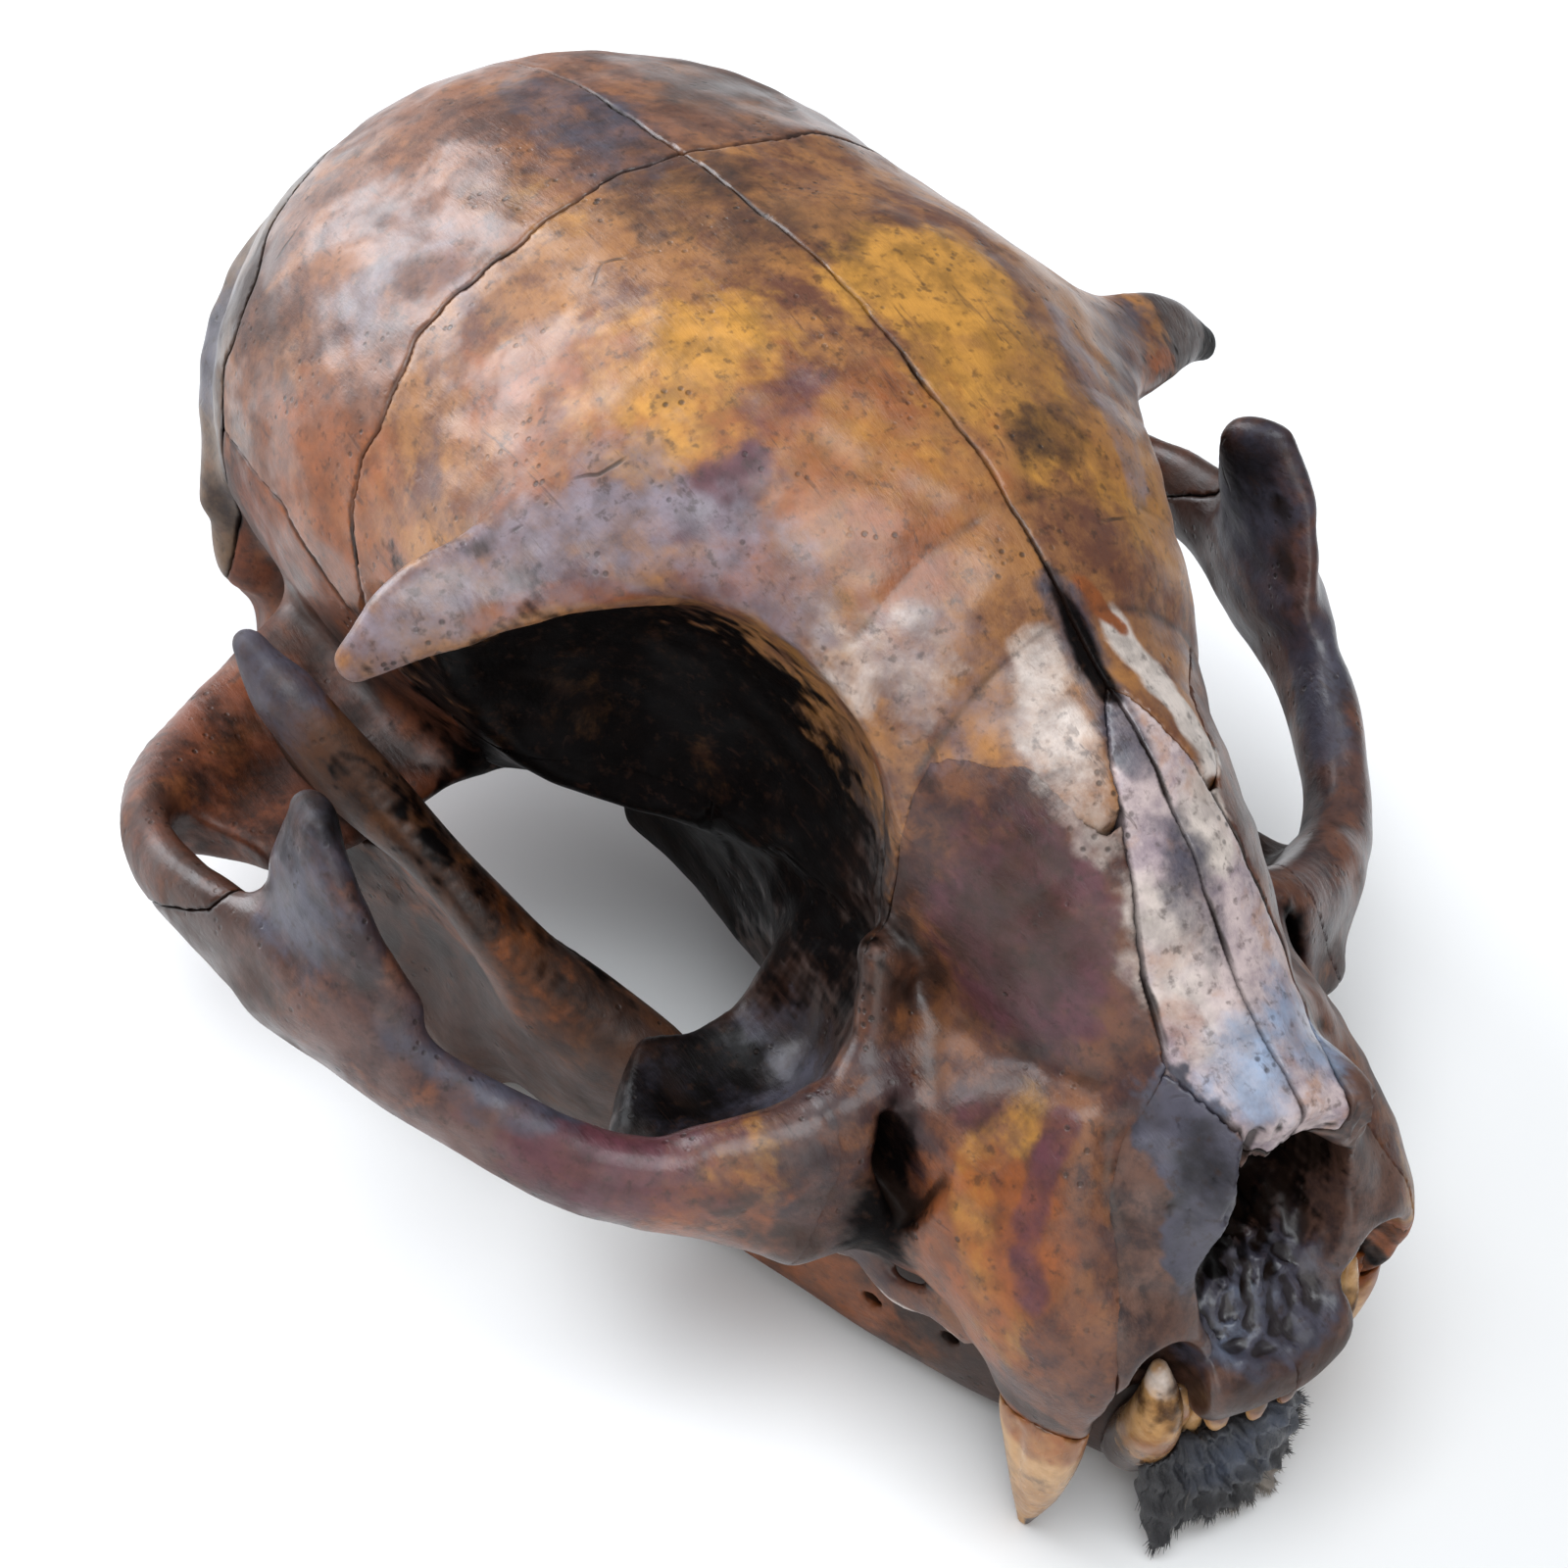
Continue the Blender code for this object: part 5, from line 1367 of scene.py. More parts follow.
class GroupSheet(Sheet):
    """A shader node group with a Vector and a Scale, and more named inputs and outputs."""

    def __init__(self, name: str, numbers: Sequence[str], colours: Sequence[str],
                 outputs: dict[str, Sockets]) -> None:
        """Make an empty group.

        Args:
            name: the group's name.
            numbers: the names of its further number inputs.
            colours: the names of its colour inputs.
            outputs: the outputs' names and kinds.
        """
        super().__init__(bpy.data.node_groups.new(name, "ShaderNodeTree"))
        inputs = {"Vector": Sockets.VECTOR, "Scale": Sockets.NUMBER}
        inputs |= {label: Sockets.COLOUR for label in colours}
        inputs |= {label: Sockets.NUMBER for label in numbers}
        for sockets, way in ((inputs, "INPUT"), (outputs, "OUTPUT")):
            for label, kind in sockets.items():
                self.tree.interface.new_socket(label, in_out=way, socket_type=kind.value)
        self.given = self.node("NodeGroupInput").outputs
        self.result = self.node("NodeGroupOutput").inputs

    def scaled(self, share: float) -> bpy.types.NodeSocket:
        """Return a multiple of the group's scale."""
        return self.times(self.given["Scale"], share)

    def cloud(self, share: float, detail: float, roughness: float, distortion: float,
              pattern: Value) -> bpy.types.NodeSocket:
        """Return noise over the surface, at a multiple of the group's scale."""
        scale = self.given["Scale"] if share == 1 else self.scaled(share)
        return self.noise(self.given["Vector"], scale, detail, roughness, distortion, pattern)

    def give(self, **values: bpy.types.NodeSocket) -> bpy.types.NodeTree:
        """Link the outputs by name, and return the group."""
        for label, socket in values.items():
            self.tree.links.new(socket, self.result[label])
        return self.tree


class GrowthSheet(Sheet):
    """A Geometry Nodes tree with named inputs, whose result becomes a plain mesh."""

    def __init__(self, name: str, inputs: dict[str, Sockets]) -> None:
        """Make a tree with a geometry input and output.

        Args:
            name: the tree's name.
            inputs: its other inputs' names and kinds.
        """
        super().__init__(bpy.data.node_groups.new(name, "GeometryNodeTree"))
        sockets = [("Geometry", "INPUT", Sockets.GEOMETRY),
                   ("Geometry", "OUTPUT", Sockets.GEOMETRY)]
        sockets += [(label, "INPUT", kind) for label, kind in inputs.items()]
        for label, way, kind in sockets:
            self.tree.interface.new_socket(label, in_out=way, socket_type=kind.value)
        self.given = self.node("NodeGroupInput").outputs
        self.result = self.node("NodeGroupOutput").inputs

    def named(self, name: str, kind: str = "FLOAT") -> bpy.types.NodeSocket:
        """Return an attribute of the carrier."""
        return self.node("GeometryNodeInputNamedAttribute", {"Name": name},
                         data_type=kind).outputs[0]

    def triple(self, *values: Value) -> bpy.types.NodeSocket:
        """Return a vector of three numbers."""
        return self.node("ShaderNodeCombineXYZ", dict(enumerate(values))).outputs[0]

    def random(self, low: float, high: float, seed: Value) -> bpy.types.NodeSocket:
        """Return a random number for each point."""
        return self.node("FunctionNodeRandomValue", {2: low, 3: high, "Seed": seed},
                         data_type="FLOAT").outputs[1]

    def finish(self, geometry: bpy.types.NodeSocket, material: bpy.types.Material) -> None:
        """End the tree with a material on the geometry, whose instances are real by now."""
        dressed = self.node("GeometryNodeSetMaterial", {"Geometry": geometry, "Material": material})
        self.tree.links.new(dressed.outputs[0], self.result["Geometry"])

    def grow(self, carrier: bpy.types.Object, name: str, **values: float) -> bpy.types.Object:
        """Return what the tree grows on a carrier.

        Args:
            carrier: the object that the tree works on, which stays as it is.
            name: the new object's name.
            values: the tree's inputs by name.
        """
        modifier = carrier.modifiers.new(name, "NODES")
        modifier.node_group = self.tree
        for item in self.tree.interface.items_tree:
            if item.item_type == "SOCKET" and item.in_out == "INPUT" and item.name in values:
                modifier[item.identifier] = values[item.name]
        view = bpy.context.evaluated_depsgraph_get()
        mesh = bpy.data.meshes.new_from_object(carrier.evaluated_get(view))
        carrier.modifiers.remove(modifier)
        return in_scene(name, mesh)


class Effects:
    """The effects that several finishes share, each built once as a node group."""

    def __init__(self) -> None:
        """Build the groups."""
        self.mottle = self.build_mottle()
        self.stain_and_painted_light = self.build_stain_and_painted_light()
        self.grain = self.build_grain()
        self.gloss = self.build_gloss()

    @staticmethod
    def build_mottle() -> bpy.types.NodeTree:
        """Two tones clouded into each other at a coarse and a fine scale."""
        sheet = GroupSheet("mottle", (), ("Light", "Dark", "Accent"), {"Color": Sockets.COLOUR})
        given = sheet.given
        coarse = sheet.cloud(1, 5, 0.6, 0.6, 1.0)
        fine = sheet.cloud(5.5, 4, 0.65, 0.2, 4.0)
        cloud = sheet.plus(sheet.times(coarse, 0.65), sheet.times(fine, 0.35))
        share = sheet.remap(cloud, 0.40, 0.62)
        colour = sheet.mix(share, given["Dark"], given["Light"])
        tint = sheet.cloud(1.9, 5, 0.62, 0.4, 12.0)
        colour = sheet.mix(sheet.remap(tint, 0.50, 0.66, 0.0, 0.65), colour, given["Accent"])
        blotch = sheet.cloud(3.2, 6, 0.66, 0.3, 17.0)
        blotch_tone = (0.045, 0.022, 0.018, 1.0)
        return sheet.give(Color=sheet.mix(sheet.remap(blotch, 0.55, 0.70, 0.0, 0.6), colour,
                                          blotch_tone))

    @staticmethod
    def build_stain_and_painted_light() -> bpy.types.NodeTree:
        """Staining or painted light and shade laid over a colour where a mask says, with a broken
        edge.
        """
        sheet = GroupSheet("stain_and_painted_light", ("Mask", "Pattern"), ("Under", "Stain"),
                           {"Color": Sockets.COLOUR})
        given = sheet.given
        ragged = sheet.times(sheet.minus(sheet.cloud(1, 6, 0.68, 0.4, given["Pattern"]), 0.5), 1.7)
        cover = sheet.remap(sheet.plus(given["Mask"], ragged), 0.12, 0.95)
        cover = sheet.times(cover, sheet.remap(given["Mask"], 0.0, 0.35))
        depth = sheet.cloud(3.0, 3, 0.6, 0.0, given["Pattern"])
        tone = sheet.mix(sheet.remap(depth, 0.35, 0.7, 0.0, 0.45), given["Stain"],
                         (0.0, 0.0, 0.0, 1.0))
        return sheet.give(Color=sheet.mix(cover, given["Under"], tone))

    @staticmethod
    def build_grain() -> bpy.types.NodeTree:
        """Bone's fine relief: pits, pores, hair cracks, scratches and a lengthwise grain."""
        sheet = GroupSheet("bone grain", (), (), {label: Sockets.NUMBER for label
                                                  in ("Height", "Pits", "Cracks", "Scratches")})
        vector = sheet.given["Vector"]
        long_way = sheet.node("ShaderNodeMapping", {"Vector": vector, "Scale": (2.2, 0.5, 1.6)})
        streak = sheet.noise(long_way.outputs[0], sheet.given["Scale"], 5, 0.7, 0.3, 2.0)
        bumps = sheet.cloud(0.45, 5, 0.6, 0.0, 5.0)
        cell = sheet.node("ShaderNodeTexVoronoi", {"Vector": vector, "Scale": sheet.scaled(1.5)})
        where = sheet.cloud(0.3, 3, 0.5, 0.0, 8.0)
        pits = sheet.times(sheet.remap(cell.outputs["Distance"], 0.30, 0.12),
                           sheet.remap(where, 0.52, 0.66))
        bent = sheet.node("ShaderNodeTexNoise", {"Vector": vector, "Scale": sheet.scaled(0.3)})
        shaken = sheet.node("ShaderNodeVectorMath", {0: bent.outputs["Color"], 1: (0.0016,) * 3},
                            operation="MULTIPLY")
        moved = sheet.node("ShaderNodeVectorMath", {0: vector, 1: shaken.outputs[0]})
        edges = sheet.node("ShaderNodeTexVoronoi", {"Vector": moved.outputs[0],
                                                    "Scale": sheet.scaled(0.13)},
                           feature="DISTANCE_TO_EDGE")
        broken = sheet.cloud(0.22, 2, 0.5, 0.0, 9.0)
        cracks = sheet.times(sheet.remap(edges.outputs["Distance"], 0.018, 0.004),
                             sheet.remap(broken, 0.64, 0.70))
        relief = sheet.plus(sheet.times(streak, 0.5), sheet.times(bumps, 0.8))
        relief = sheet.minus(sheet.minus(relief, sheet.times(pits, 0.55)), sheet.times(cracks, 0.6))
        turned = sheet.node("ShaderNodeMapping", {"Vector": vector, "Rotation": (0.5, 0.4, 0.7),
                                                  "Scale": (3.2, 0.22, 2.4)})
        fine = sheet.noise(turned.outputs[0], sheet.scaled(0.55), 3, 0.6, 0.8, 21.0)
        scratches = sheet.times(sheet.remap(fine, 0.60, 0.67), sheet.remap(where, 0.42, 0.6))
        return sheet.give(Height=relief, Pits=pits, Cracks=cracks, Scratches=scratches)

    @staticmethod
    def build_gloss() -> bpy.types.NodeTree:
        """Where old varnish lies on the bone and where it has worn dull."""
        sheet = GroupSheet("varnish", ("Smooth", "Rough"), (),
                           {"Roughness": Sockets.NUMBER, "Coat": Sockets.NUMBER})
        given = sheet.given
        patch = sheet.cloud(1, 4, 0.6, 0.5, 6.0)
        fine = sheet.cloud(8.0, 3, 0.6, 0.0, 7.0)
        worn = sheet.plus(sheet.remap(patch, 0.38, 0.66), sheet.times(sheet.minus(fine, 0.5), 0.5),
                          clamp=True)
        span = sheet.minus(given["Rough"], given["Smooth"])
        return sheet.give(Roughness=sheet.plus(given["Smooth"], sheet.times(worn, span)),
                          Coat=sheet.remap(worn, 0.2, 0.9, 1.0, 0.1))


# Each layer's tone. Besides staining, ochre and rust paint highlights, slate and ash paint sheen,
# blue paints a reflection, and pitch, umber and slate paint shade.
LAYER_TONES: dict[Layer, str] = {
    Layer.OCHRE: "bd8638",
    Layer.CREAM: "d4c7be",
    Layer.RUST: "8c4c22",
    Layer.WINE: "573038",
    Layer.UMBER: "3a241b",
    Layer.SLATE: "45434f",
    Layer.ASH: "7d727c",
    Layer.BLUE: "8ea0bb",
    Layer.PITCH: "0b0808",
}


class DirtAndShade(Enum):
    """The dark tones of marks on bone, and of the painted shade in its hollows, in hex."""

    SCRATCH = "33211b"
    SPECK = "2a1b14"
    # painted shade in hollows
    HOLLOW = "1a110d"
    SEAM = "1c110d"
    PIT = "1c120c"


@dataclass(frozen=True)
class BoneFinish:
    """Stained, varnished bone.

    Attributes:
        name: the material's name.
        light: the lighter tone of its mottling, in hex.
        dark: the darker tone.
        accent: a third tone that shows in places.
        cloud: the mottling's size in millimetres.
        smooth: the roughness where varnish lies.
        rough: the roughness where it is worn off.
        relief: the fine relief's height in millimetres.
        coat: how much varnish there is at most.
        dirt_and_shade: how strongly specks and pits are darkened, and how dark the painted shade in
            hollows is.
        layers: the stains and painted light and shade that it takes.
    """

    name: str
    light: str
    dark: str
    accent: str
    cloud: float = 7.0
    smooth: float = 0.34
    rough: float = 0.58
    relief: float = 0.16
    coat: float = 0.35
    dirt_and_shade: float = 1.0
    layers: tuple[Layer, ...] = tuple(LAYER_TONES)

    def build(self, effects: Effects) -> bpy.types.Material:
        """Return the material, made from the shared effects."""
        sheet = MaterialSheet(self.name)
        light, dirt_and_shade, place = linear(self.light), self.dirt_and_shade, sheet.place
        colour = sheet.effect(effects.mottle, Light=light, Dark=linear(self.dark),
                              Accent=linear(self.accent), Scale=1 / (self.cloud * MM))["Color"]
        pale = sheet.noise(place, 620.0, 5, 0.68, 0.3, 50.0)
        colour = sheet.mix(sheet.remap(pale, 0.50, 0.68, 0.0, 0.5 * dirt_and_shade), colour, light)
        # each layer laid over the colour: staining, and painted highlights, sheen, reflection and
        # shade
        for number, layer in enumerate(self.layers):
            colour = sheet.effect(effects.stain_and_painted_light, Under=colour, Stain=linear(LAYER_TONES[layer]),
                                  Mask=sheet.mask(layer), Scale=240.0,
                                  Pattern=3.0 + 5 * number)["Color"]
        grain = sheet.effect(effects.grain, Scale=1000.0)
        speck = sheet.noise(place, 1500.0, 3, 0.6, 0.0, 40.0)
        faint = sheet.remap(sheet.noise(place, 150.0, 3, 0.6, 0.0, 60.0), 0.40, 0.62, 0.35, 0.95)
        marks = sheet.math("MAXIMUM", grain["Pits"], grain["Cracks"])
        for share, tone in (
                (sheet.times(grain["Scratches"], 0.5 * dirt_and_shade), DirtAndShade.SCRATCH),
                (sheet.remap(speck, 0.54, 0.70, 0.0, 0.55 * dirt_and_shade), DirtAndShade.SPECK),
                # painted shade in hollows
                (sheet.remap(sheet.mask(Layer.HOLLOW), 0.05, 0.7, 0.0, 0.8 * dirt_and_shade), DirtAndShade.HOLLOW),
                (sheet.times(sheet.remap(sheet.mask(Layer.SEAM), 0.25, 0.95), faint), DirtAndShade.SEAM),
                (sheet.times(marks, 0.75 * dirt_and_shade), DirtAndShade.PIT)):
            colour = sheet.mix(share, colour, linear(tone.value))
        gloss = sheet.effect(effects.gloss, Scale=120.0, Smooth=self.smooth, Rough=self.rough)
        dull = sheet.remap(sheet.mask(Layer.PITCH), 0.2, 0.9, 1.0, 0.1)
        return sheet.shaded({
            "Base Color": colour,
            "Roughness": gloss["Roughness"],
            "Specular IOR Level": sheet.times(dull, 0.5),
            "Coat Weight": sheet.times(gloss["Coat"], sheet.times(dull, self.coat)),
            "Normal": sheet.bump(grain["Height"], 0.75, self.relief),
            "Coat Roughness": 0.26,
            "IOR": 1.42,
        })


@dataclass(frozen=True)
class SkinFinish:
    """Dried black skin, wrinkled lengthwise, with paler fibres and a painted bluish reflection.

    Attributes:
        name: the material's name.
        dark: its main tone in hex.
        pale: the tone of the fibres.
        painted_reflection: the tone of its painted bluish reflection.
    """

    name: str
    dark: str
    pale: str
    painted_reflection: str

    def build(self, _: Effects) -> bpy.types.Material:
        """Return the material, which takes none of the shared effects."""
        sheet = MaterialSheet(self.name)
        tall = sheet.node("ShaderNodeMapping", {"Vector": sheet.place, "Scale": (3.2, 2.2, 0.35)})
        fibre = sheet.noise(tall.outputs[0], 700.0, 6, 0.7, 0.6, 1.0)
        lumps = sheet.noise(sheet.place, 420.0, 4, 0.6, 0.0, 3.0)
        share = sheet.plus(sheet.remap(fibre, 0.55, 0.72, 0.0, 0.4),
                           sheet.times(sheet.mask(Layer.CREAM), 0.8), clamp=True)
        colour = sheet.mix(share, linear(self.dark), linear(self.pale))
        # painted bluish reflection where the blue mask lies, broken up by the lumps
        sheen = sheet.times(sheet.mask(Layer.BLUE), sheet.remap(lumps, 0.3, 0.65, 0.2, 0.8))
        return sheet.shaded({
            "Base Color": sheet.mix(sheen, colour, linear(self.painted_reflection)),
            "Roughness": sheet.remap(lumps, 0.3, 0.7, 0.26, 0.55),
            "Normal": sheet.bump(sheet.plus(fibre, sheet.times(lumps, 0.5)), 0.9, 0.3),
        })


FRONTAL_FINISH = BoneFinish("frontal bone", "94653a", "5c3626", "a87238", coat=0.5)
NASAL_FINISH = BoneFinish("nasal bone", "c6b4b2", "8a7a82", "a87c5e", 5.0, coat=0.6)
PREMAXILLA_FINISH = BoneFinish("premaxilla bone", "5c4034", "2b1f20", "6d4f42", 5.0)
MAXILLA_FINISH = BoneFinish("maxilla bone", "67402c", "352020", "80502c", coat=0.2)
CHEEK_FINISH = BoneFinish("cheek bone", "5c3f37", "2f2224", "77482f")
VAULT_FINISH = BoneFinish("vault bone", "7e533c", "4c2f24", "94613a", coat=0.55)
TEMPORAL_FINISH = BoneFinish("temple bone", "6c3a24", "361e16", "7e4a2a", rough=0.7, coat=0.15)
REAR_FINISH = BoneFinish("rear bone", "5f4936", "2b1f1b", "6c4a34")
FLOOR_FINISH = BoneFinish("base bone", "4a3227", "211613", "5a3c2a")
JAW_FINISH = BoneFinish("jaw bone", "4c2d1a", "24140d", "60391d", smooth=0.45, rough=0.75, coat=0.1)
ENAMEL_FINISH = BoneFinish("enamel", "bd925f", "94683a", "cfa878", 6.0, 0.24, 0.40, 0.05, dirt_and_shade=0.25,
                           layers=(Layer.OCHRE, Layer.CREAM, Layer.RUST, Layer.UMBER))
# the skin's last tone is its painted bluish reflection
SKIN_FINISH = SkinFinish("dried skin", "17161a", "8d8378", "4c566a")


# ---------------------------------------------------------------- the skull's pieces


@dataclass(frozen=True)
class Bone:
    """One bone of the upper skull.

    Attributes:
        name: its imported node's name, without the side.
        finish: its material.
        paired: whether there is one on each side.
        reach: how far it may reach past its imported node's box, in millimetres.
    """

    name: str
    finish: BoneFinish
    paired: bool = True
    reach: float = 1.5


UPPER_BONES = (
    Bone("nasal", NASAL_FINISH),
    Bone("premaxilla", PREMAXILLA_FINISH),
    Bone("maxilla", MAXILLA_FINISH),
    Bone("zygomatic", CHEEK_FINISH),
    Bone("frontal", FRONTAL_FINISH, reach=4.5),
    Bone("parietal", VAULT_FINISH),
    Bone("temporal", TEMPORAL_FINISH),
    Bone("occipital", REAR_FINISH, False),
    Bone("sphenoid", FLOOR_FINISH, False),
)


class Dresser:
    """Paints, finishes and attaches each piece to its body."""

    def __init__(self, painter: StainAndPaintedLightPainter) -> None:
        """Keep the painter and build the materials when they are first used."""
        self.painter = painter
        self.effects = Effects()
        self.made: dict[str, bpy.types.Material] = {}

    def material(self, finish: BoneFinish | SkinFinish) -> bpy.types.Material:
        """Return a finish's material."""
        if finish.name not in self.made:
            self.made[finish.name] = finish.build(self.effects)
        return self.made[finish.name]

    def paint(self, obj: bpy.types.Object, shell: Shell, seam: np.ndarray,
              bulge: np.ndarray) -> None:
        """Write the masks onto a piece's vertices."""
        for layer, values in self.painter.masks(shell.points, seam, bulge).items():
            attribute = obj.data.attributes.new(layer.value, "FLOAT", "POINT")
            attribute.data.foreach_set("value", values.astype(np.float32))

    def paint_mesh(self, obj: bpy.types.Object) -> None:
        """Write the masks onto a piece that wasn't cut from a field."""
        points = np.empty(len(obj.data.vertices) * 3)
        obj.data.vertices.foreach_get("co", points)
        shell = Shell(points.reshape(-1, 3) / MM + ORIGIN, np.zeros((0, 3), int))
        self.paint(obj, shell, np.full(len(shell.points), NO_SEAM), np.zeros(len(shell.points)))

    def dress(self, obj: bpy.types.Object, finish: BoneFinish | SkinFinish, slot: str,
              *nodes: str) -> None:
        """Give a piece its material and body, and hide the nodes it replaces."""
        obj.data.materials.clear()
        obj.data.materials.append(self.material(finish))
        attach(obj, "root")
        if nodes:
            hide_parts(*nodes)
        triangles = sum(len(face.vertices) - 2 for face in obj.data.polygons)
        log.info("%s: %d triangles, for %s", obj.name, triangles, ", ".join(nodes) or "no node")


@dataclass
class UpperSkull:
    """The upper skull's bones, parted along their sutures."""

    shape: SkullShape
    dresser: Dresser
    gap: float = SEAM
    rounding: float = EDGE

    def build(self) -> None:
        """Build every bone."""
        for bone in UPPER_BONES:
            if bone.paired:
                self.bone(bone, f"{bone.name}_left", 1)
                self.bone(bone, f"{bone.name}_right", -1)
            else:
                self.bone(bone, bone.name, 0)

    @staticmethod
    def depth(bone: Bone, side: int,
              coordinates: Sequence[np.ndarray]) -> tuple[np.ndarray, np.ndarray]:
        """Return points' depth in a bone's share of the skull, and how open its sutures are."""
        regions = Regions(coordinates)
        inside = getattr(regions, bone.name)()
        return (np.minimum(inside, side * regions.mid) if side else inside), regions.openness()

    def smooth_over(self, obj: bpy.types.Object, shell: Shell, opened: np.ndarray) -> None:
        """Shade a bone's closed edges like the skull around them, so that no line shows there.

        Args:
            obj: the bone's object.
            shell: its surface.
            opened: how open the sutures are at each vertex.
        """
        skull = self.shape.whole
        normals = np.zeros(shell.points.shape)
        closed = (opened < 0.5) & (skull.sample(shell.points) > -2 * skull.step)
        normals[closed] = unit(skull.slope(shell.points[closed], skull.step))
        obj.data.normals_split_custom_set_from_vertices(normals)

    def bone(self, bone: Bone, node: str, side: int) -> None:
        """Cut one bone from the skull and dress it.

        Args:
            bone: the bone.
            node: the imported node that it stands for.
            side: 1 for the skull's left, -1 for its right, 0 for a middle bone.
        """
        skull = self.shape.whole
        part = skull.slices(node_box(node, bone.reach), 0)
        inside, opened = self.depth(bone, side, skull.coordinates(part))
        gap = self.gap * opened - OVERLAP * np.clip(1 - 2 * opened, 0, 1)
        values = smooth_maximum(skull.field[part], gap / 2 - inside, self.rounding * opened)
        values = values.astype(np.float32)
        first = np.array([axis[cut.start] for axis, cut in zip(skull.axes, part)])
        shell = Shell.around(values, first, skull.step)
        shell = shell.merged(skull.sample(shell.points) < -HIDDEN_DEPTH, HIDDEN_CELL)
        obj = shell.to_object(piece_name(bone.name, side))
        seam, opened = self.depth(bone, side, shell.points.T)
        self.smooth_over(obj, shell, opened)
        seam = seam + 0.5 * (1 - opened)
        self.dresser.paint(obj, shell, seam, skull.bulge(shell.points, 0.7))
        self.dresser.dress(obj, bone.finish, bone.name, node)


@dataclass
class LowerJaw:
    """The lower jaw's halves, the canines and incisors, and the skin on the chin."""

    shape: JawShape
    dresser: Dresser

    def build(self) -> None:
        """Build every piece on both sides."""
        pieces = (("mandible", self.shape.mandible, JAW_FINISH),
                  ("upper_canine", self.shape.upper_canine, ENAMEL_FINISH),
                  ("lower_canine", self.shape.lower_canine, ENAMEL_FINISH))
        for name, mass, finish in pieces:
            whole = mass.mirrored()
            if name == "mandible":
                whole.ripple(0.05, 7.0, 7, SEED + 5)
            for node, keep in ((f"{name}_left", 1), (f"{name}_right", -1)):
                shell, obj = self.side(whole, node, keep)
                far = np.full(len(shell.points), NO_SEAM)
                self.dresser.paint(obj, shell, far, whole.bulge(shell.points, 0.6))
                self.dresser.dress(obj, finish, name, node)

    @staticmethod
    def side(whole: Mass, node: str, keep: int) -> tuple[Shell, bpy.types.Object]:
        """Return one side's surface and object."""
        part = whole.slices(node_box(node), 0)
        x = whole.coordinates(part)[0]
        values = np.maximum(whole.field[part], SEAM / 2 - keep * x)
        first = np.array([axis[cut.start] for axis, cut in zip(whole.axes, part)])
        shell = Shell.around(values, first, whole.step)
        return shell, shell.to_object(piece_name(node.rsplit("_", 1)[0], keep))


@dataclass
class ToothRows:
    """The worn incisors, set along the front of both jaws.

    Attributes:
        dresser: what finishes the pieces.
        rows: each row's name, the arch it stands on, and the teeth's half width and height.
    """

    dresser: Dresser
    rows: tuple[tuple[str, Line, float, float], ...] = (
        ("upper", ((-4.4, 2.3, -0.5), (-2.4, 0.5, -0.2), (0, 0.0, -0.1), (2.4, 0.5, -0.2),
                   (4.4, 2.3, -0.5)), 0.62, 1.35),
        ("lower", ((-3.0, 2.0, -2.6), (-1.4, 1.4, -2.6), (0, 1.2, -2.6), (1.4, 1.4, -2.6),
                   (3.0, 2.0, -2.6)), 0.42, 1.25),
    )

    def tree(self) -> GrowthSheet:
        """Return the tree that sets teeth along an arch, larger toward its ends."""
        sheet = GrowthSheet("tooth row", {"Count": Sockets.WHOLE, "Width": Sockets.NUMBER,
                                          "Height": Sockets.NUMBER, "Seed": Sockets.WHOLE})
        given = sheet.given
        arch = sheet.node("GeometryNodeMeshToCurve", {"Mesh": given["Geometry"]})
        spots = sheet.node("GeometryNodeCurveToPoints", {"Curve": arch.outputs[0],
                                                         "Count": given["Count"]}, mode="COUNT")
        turn = sheet.node("FunctionNodeAlignRotationToVector", {"Vector": spots.outputs["Tangent"]},
                          axis="X")
        place = sheet.node("ShaderNodeSeparateXYZ",
                           {0: sheet.node("GeometryNodeInputPosition").outputs[0]})
        outward = sheet.math("DIVIDE", sheet.math("ABSOLUTE", place.outputs[0]), 4.4 * MM)
        size = sheet.times(sheet.remap(outward, 0.2, 1.0, 0.85, 1.35),
                          sheet.random(0.9, 1.1, given["Seed"]))
        width = sheet.times(given["Width"], size)
        scale = sheet.triple(width, sheet.times(width, 0.85),
                             sheet.times(given["Height"], size))
        crown = sheet.node("GeometryNodeMeshUVSphere", {"Segments": 10, "Rings": 6, "Radius": 1.0})
        smooth = sheet.node("GeometryNodeSetShadeSmooth", {0: crown.outputs[0]})
        teeth = sheet.node("GeometryNodeInstanceOnPoints",
                           {"Points": spots.outputs["Points"], "Instance": smooth.outputs[0],
                            "Rotation": turn.outputs[0], "Scale": scale})
        real = sheet.node("GeometryNodeRealizeInstances", {0: teeth.outputs[0]})
        sheet.finish(real.outputs[0], self.dresser.material(ENAMEL_FINISH))
        return sheet

    def build(self) -> None:
        """Build both rows."""
        tree = self.tree()
        for number, (name, arch, width, height) in enumerate(self.rows):
            points = (spline(np.array(arch, float), 24) - ORIGIN) * MM
            mesh = bpy.data.meshes.new("arch")
            mesh.from_pydata(points.tolist(), [(i, i + 1) for i in range(len(points) - 1)], [])
            carrier = in_scene("arch", mesh)
            teeth = tree.grow(carrier, f"{name}_incisors", Count=6, Width=width * MM,
                              Height=height * MM, Seed=SEED + number)
            bpy.data.objects.remove(carrier)
            self.dresser.paint_mesh(teeth)
            self.dresser.dress(teeth, ENAMEL_FINISH, "upper_canine")


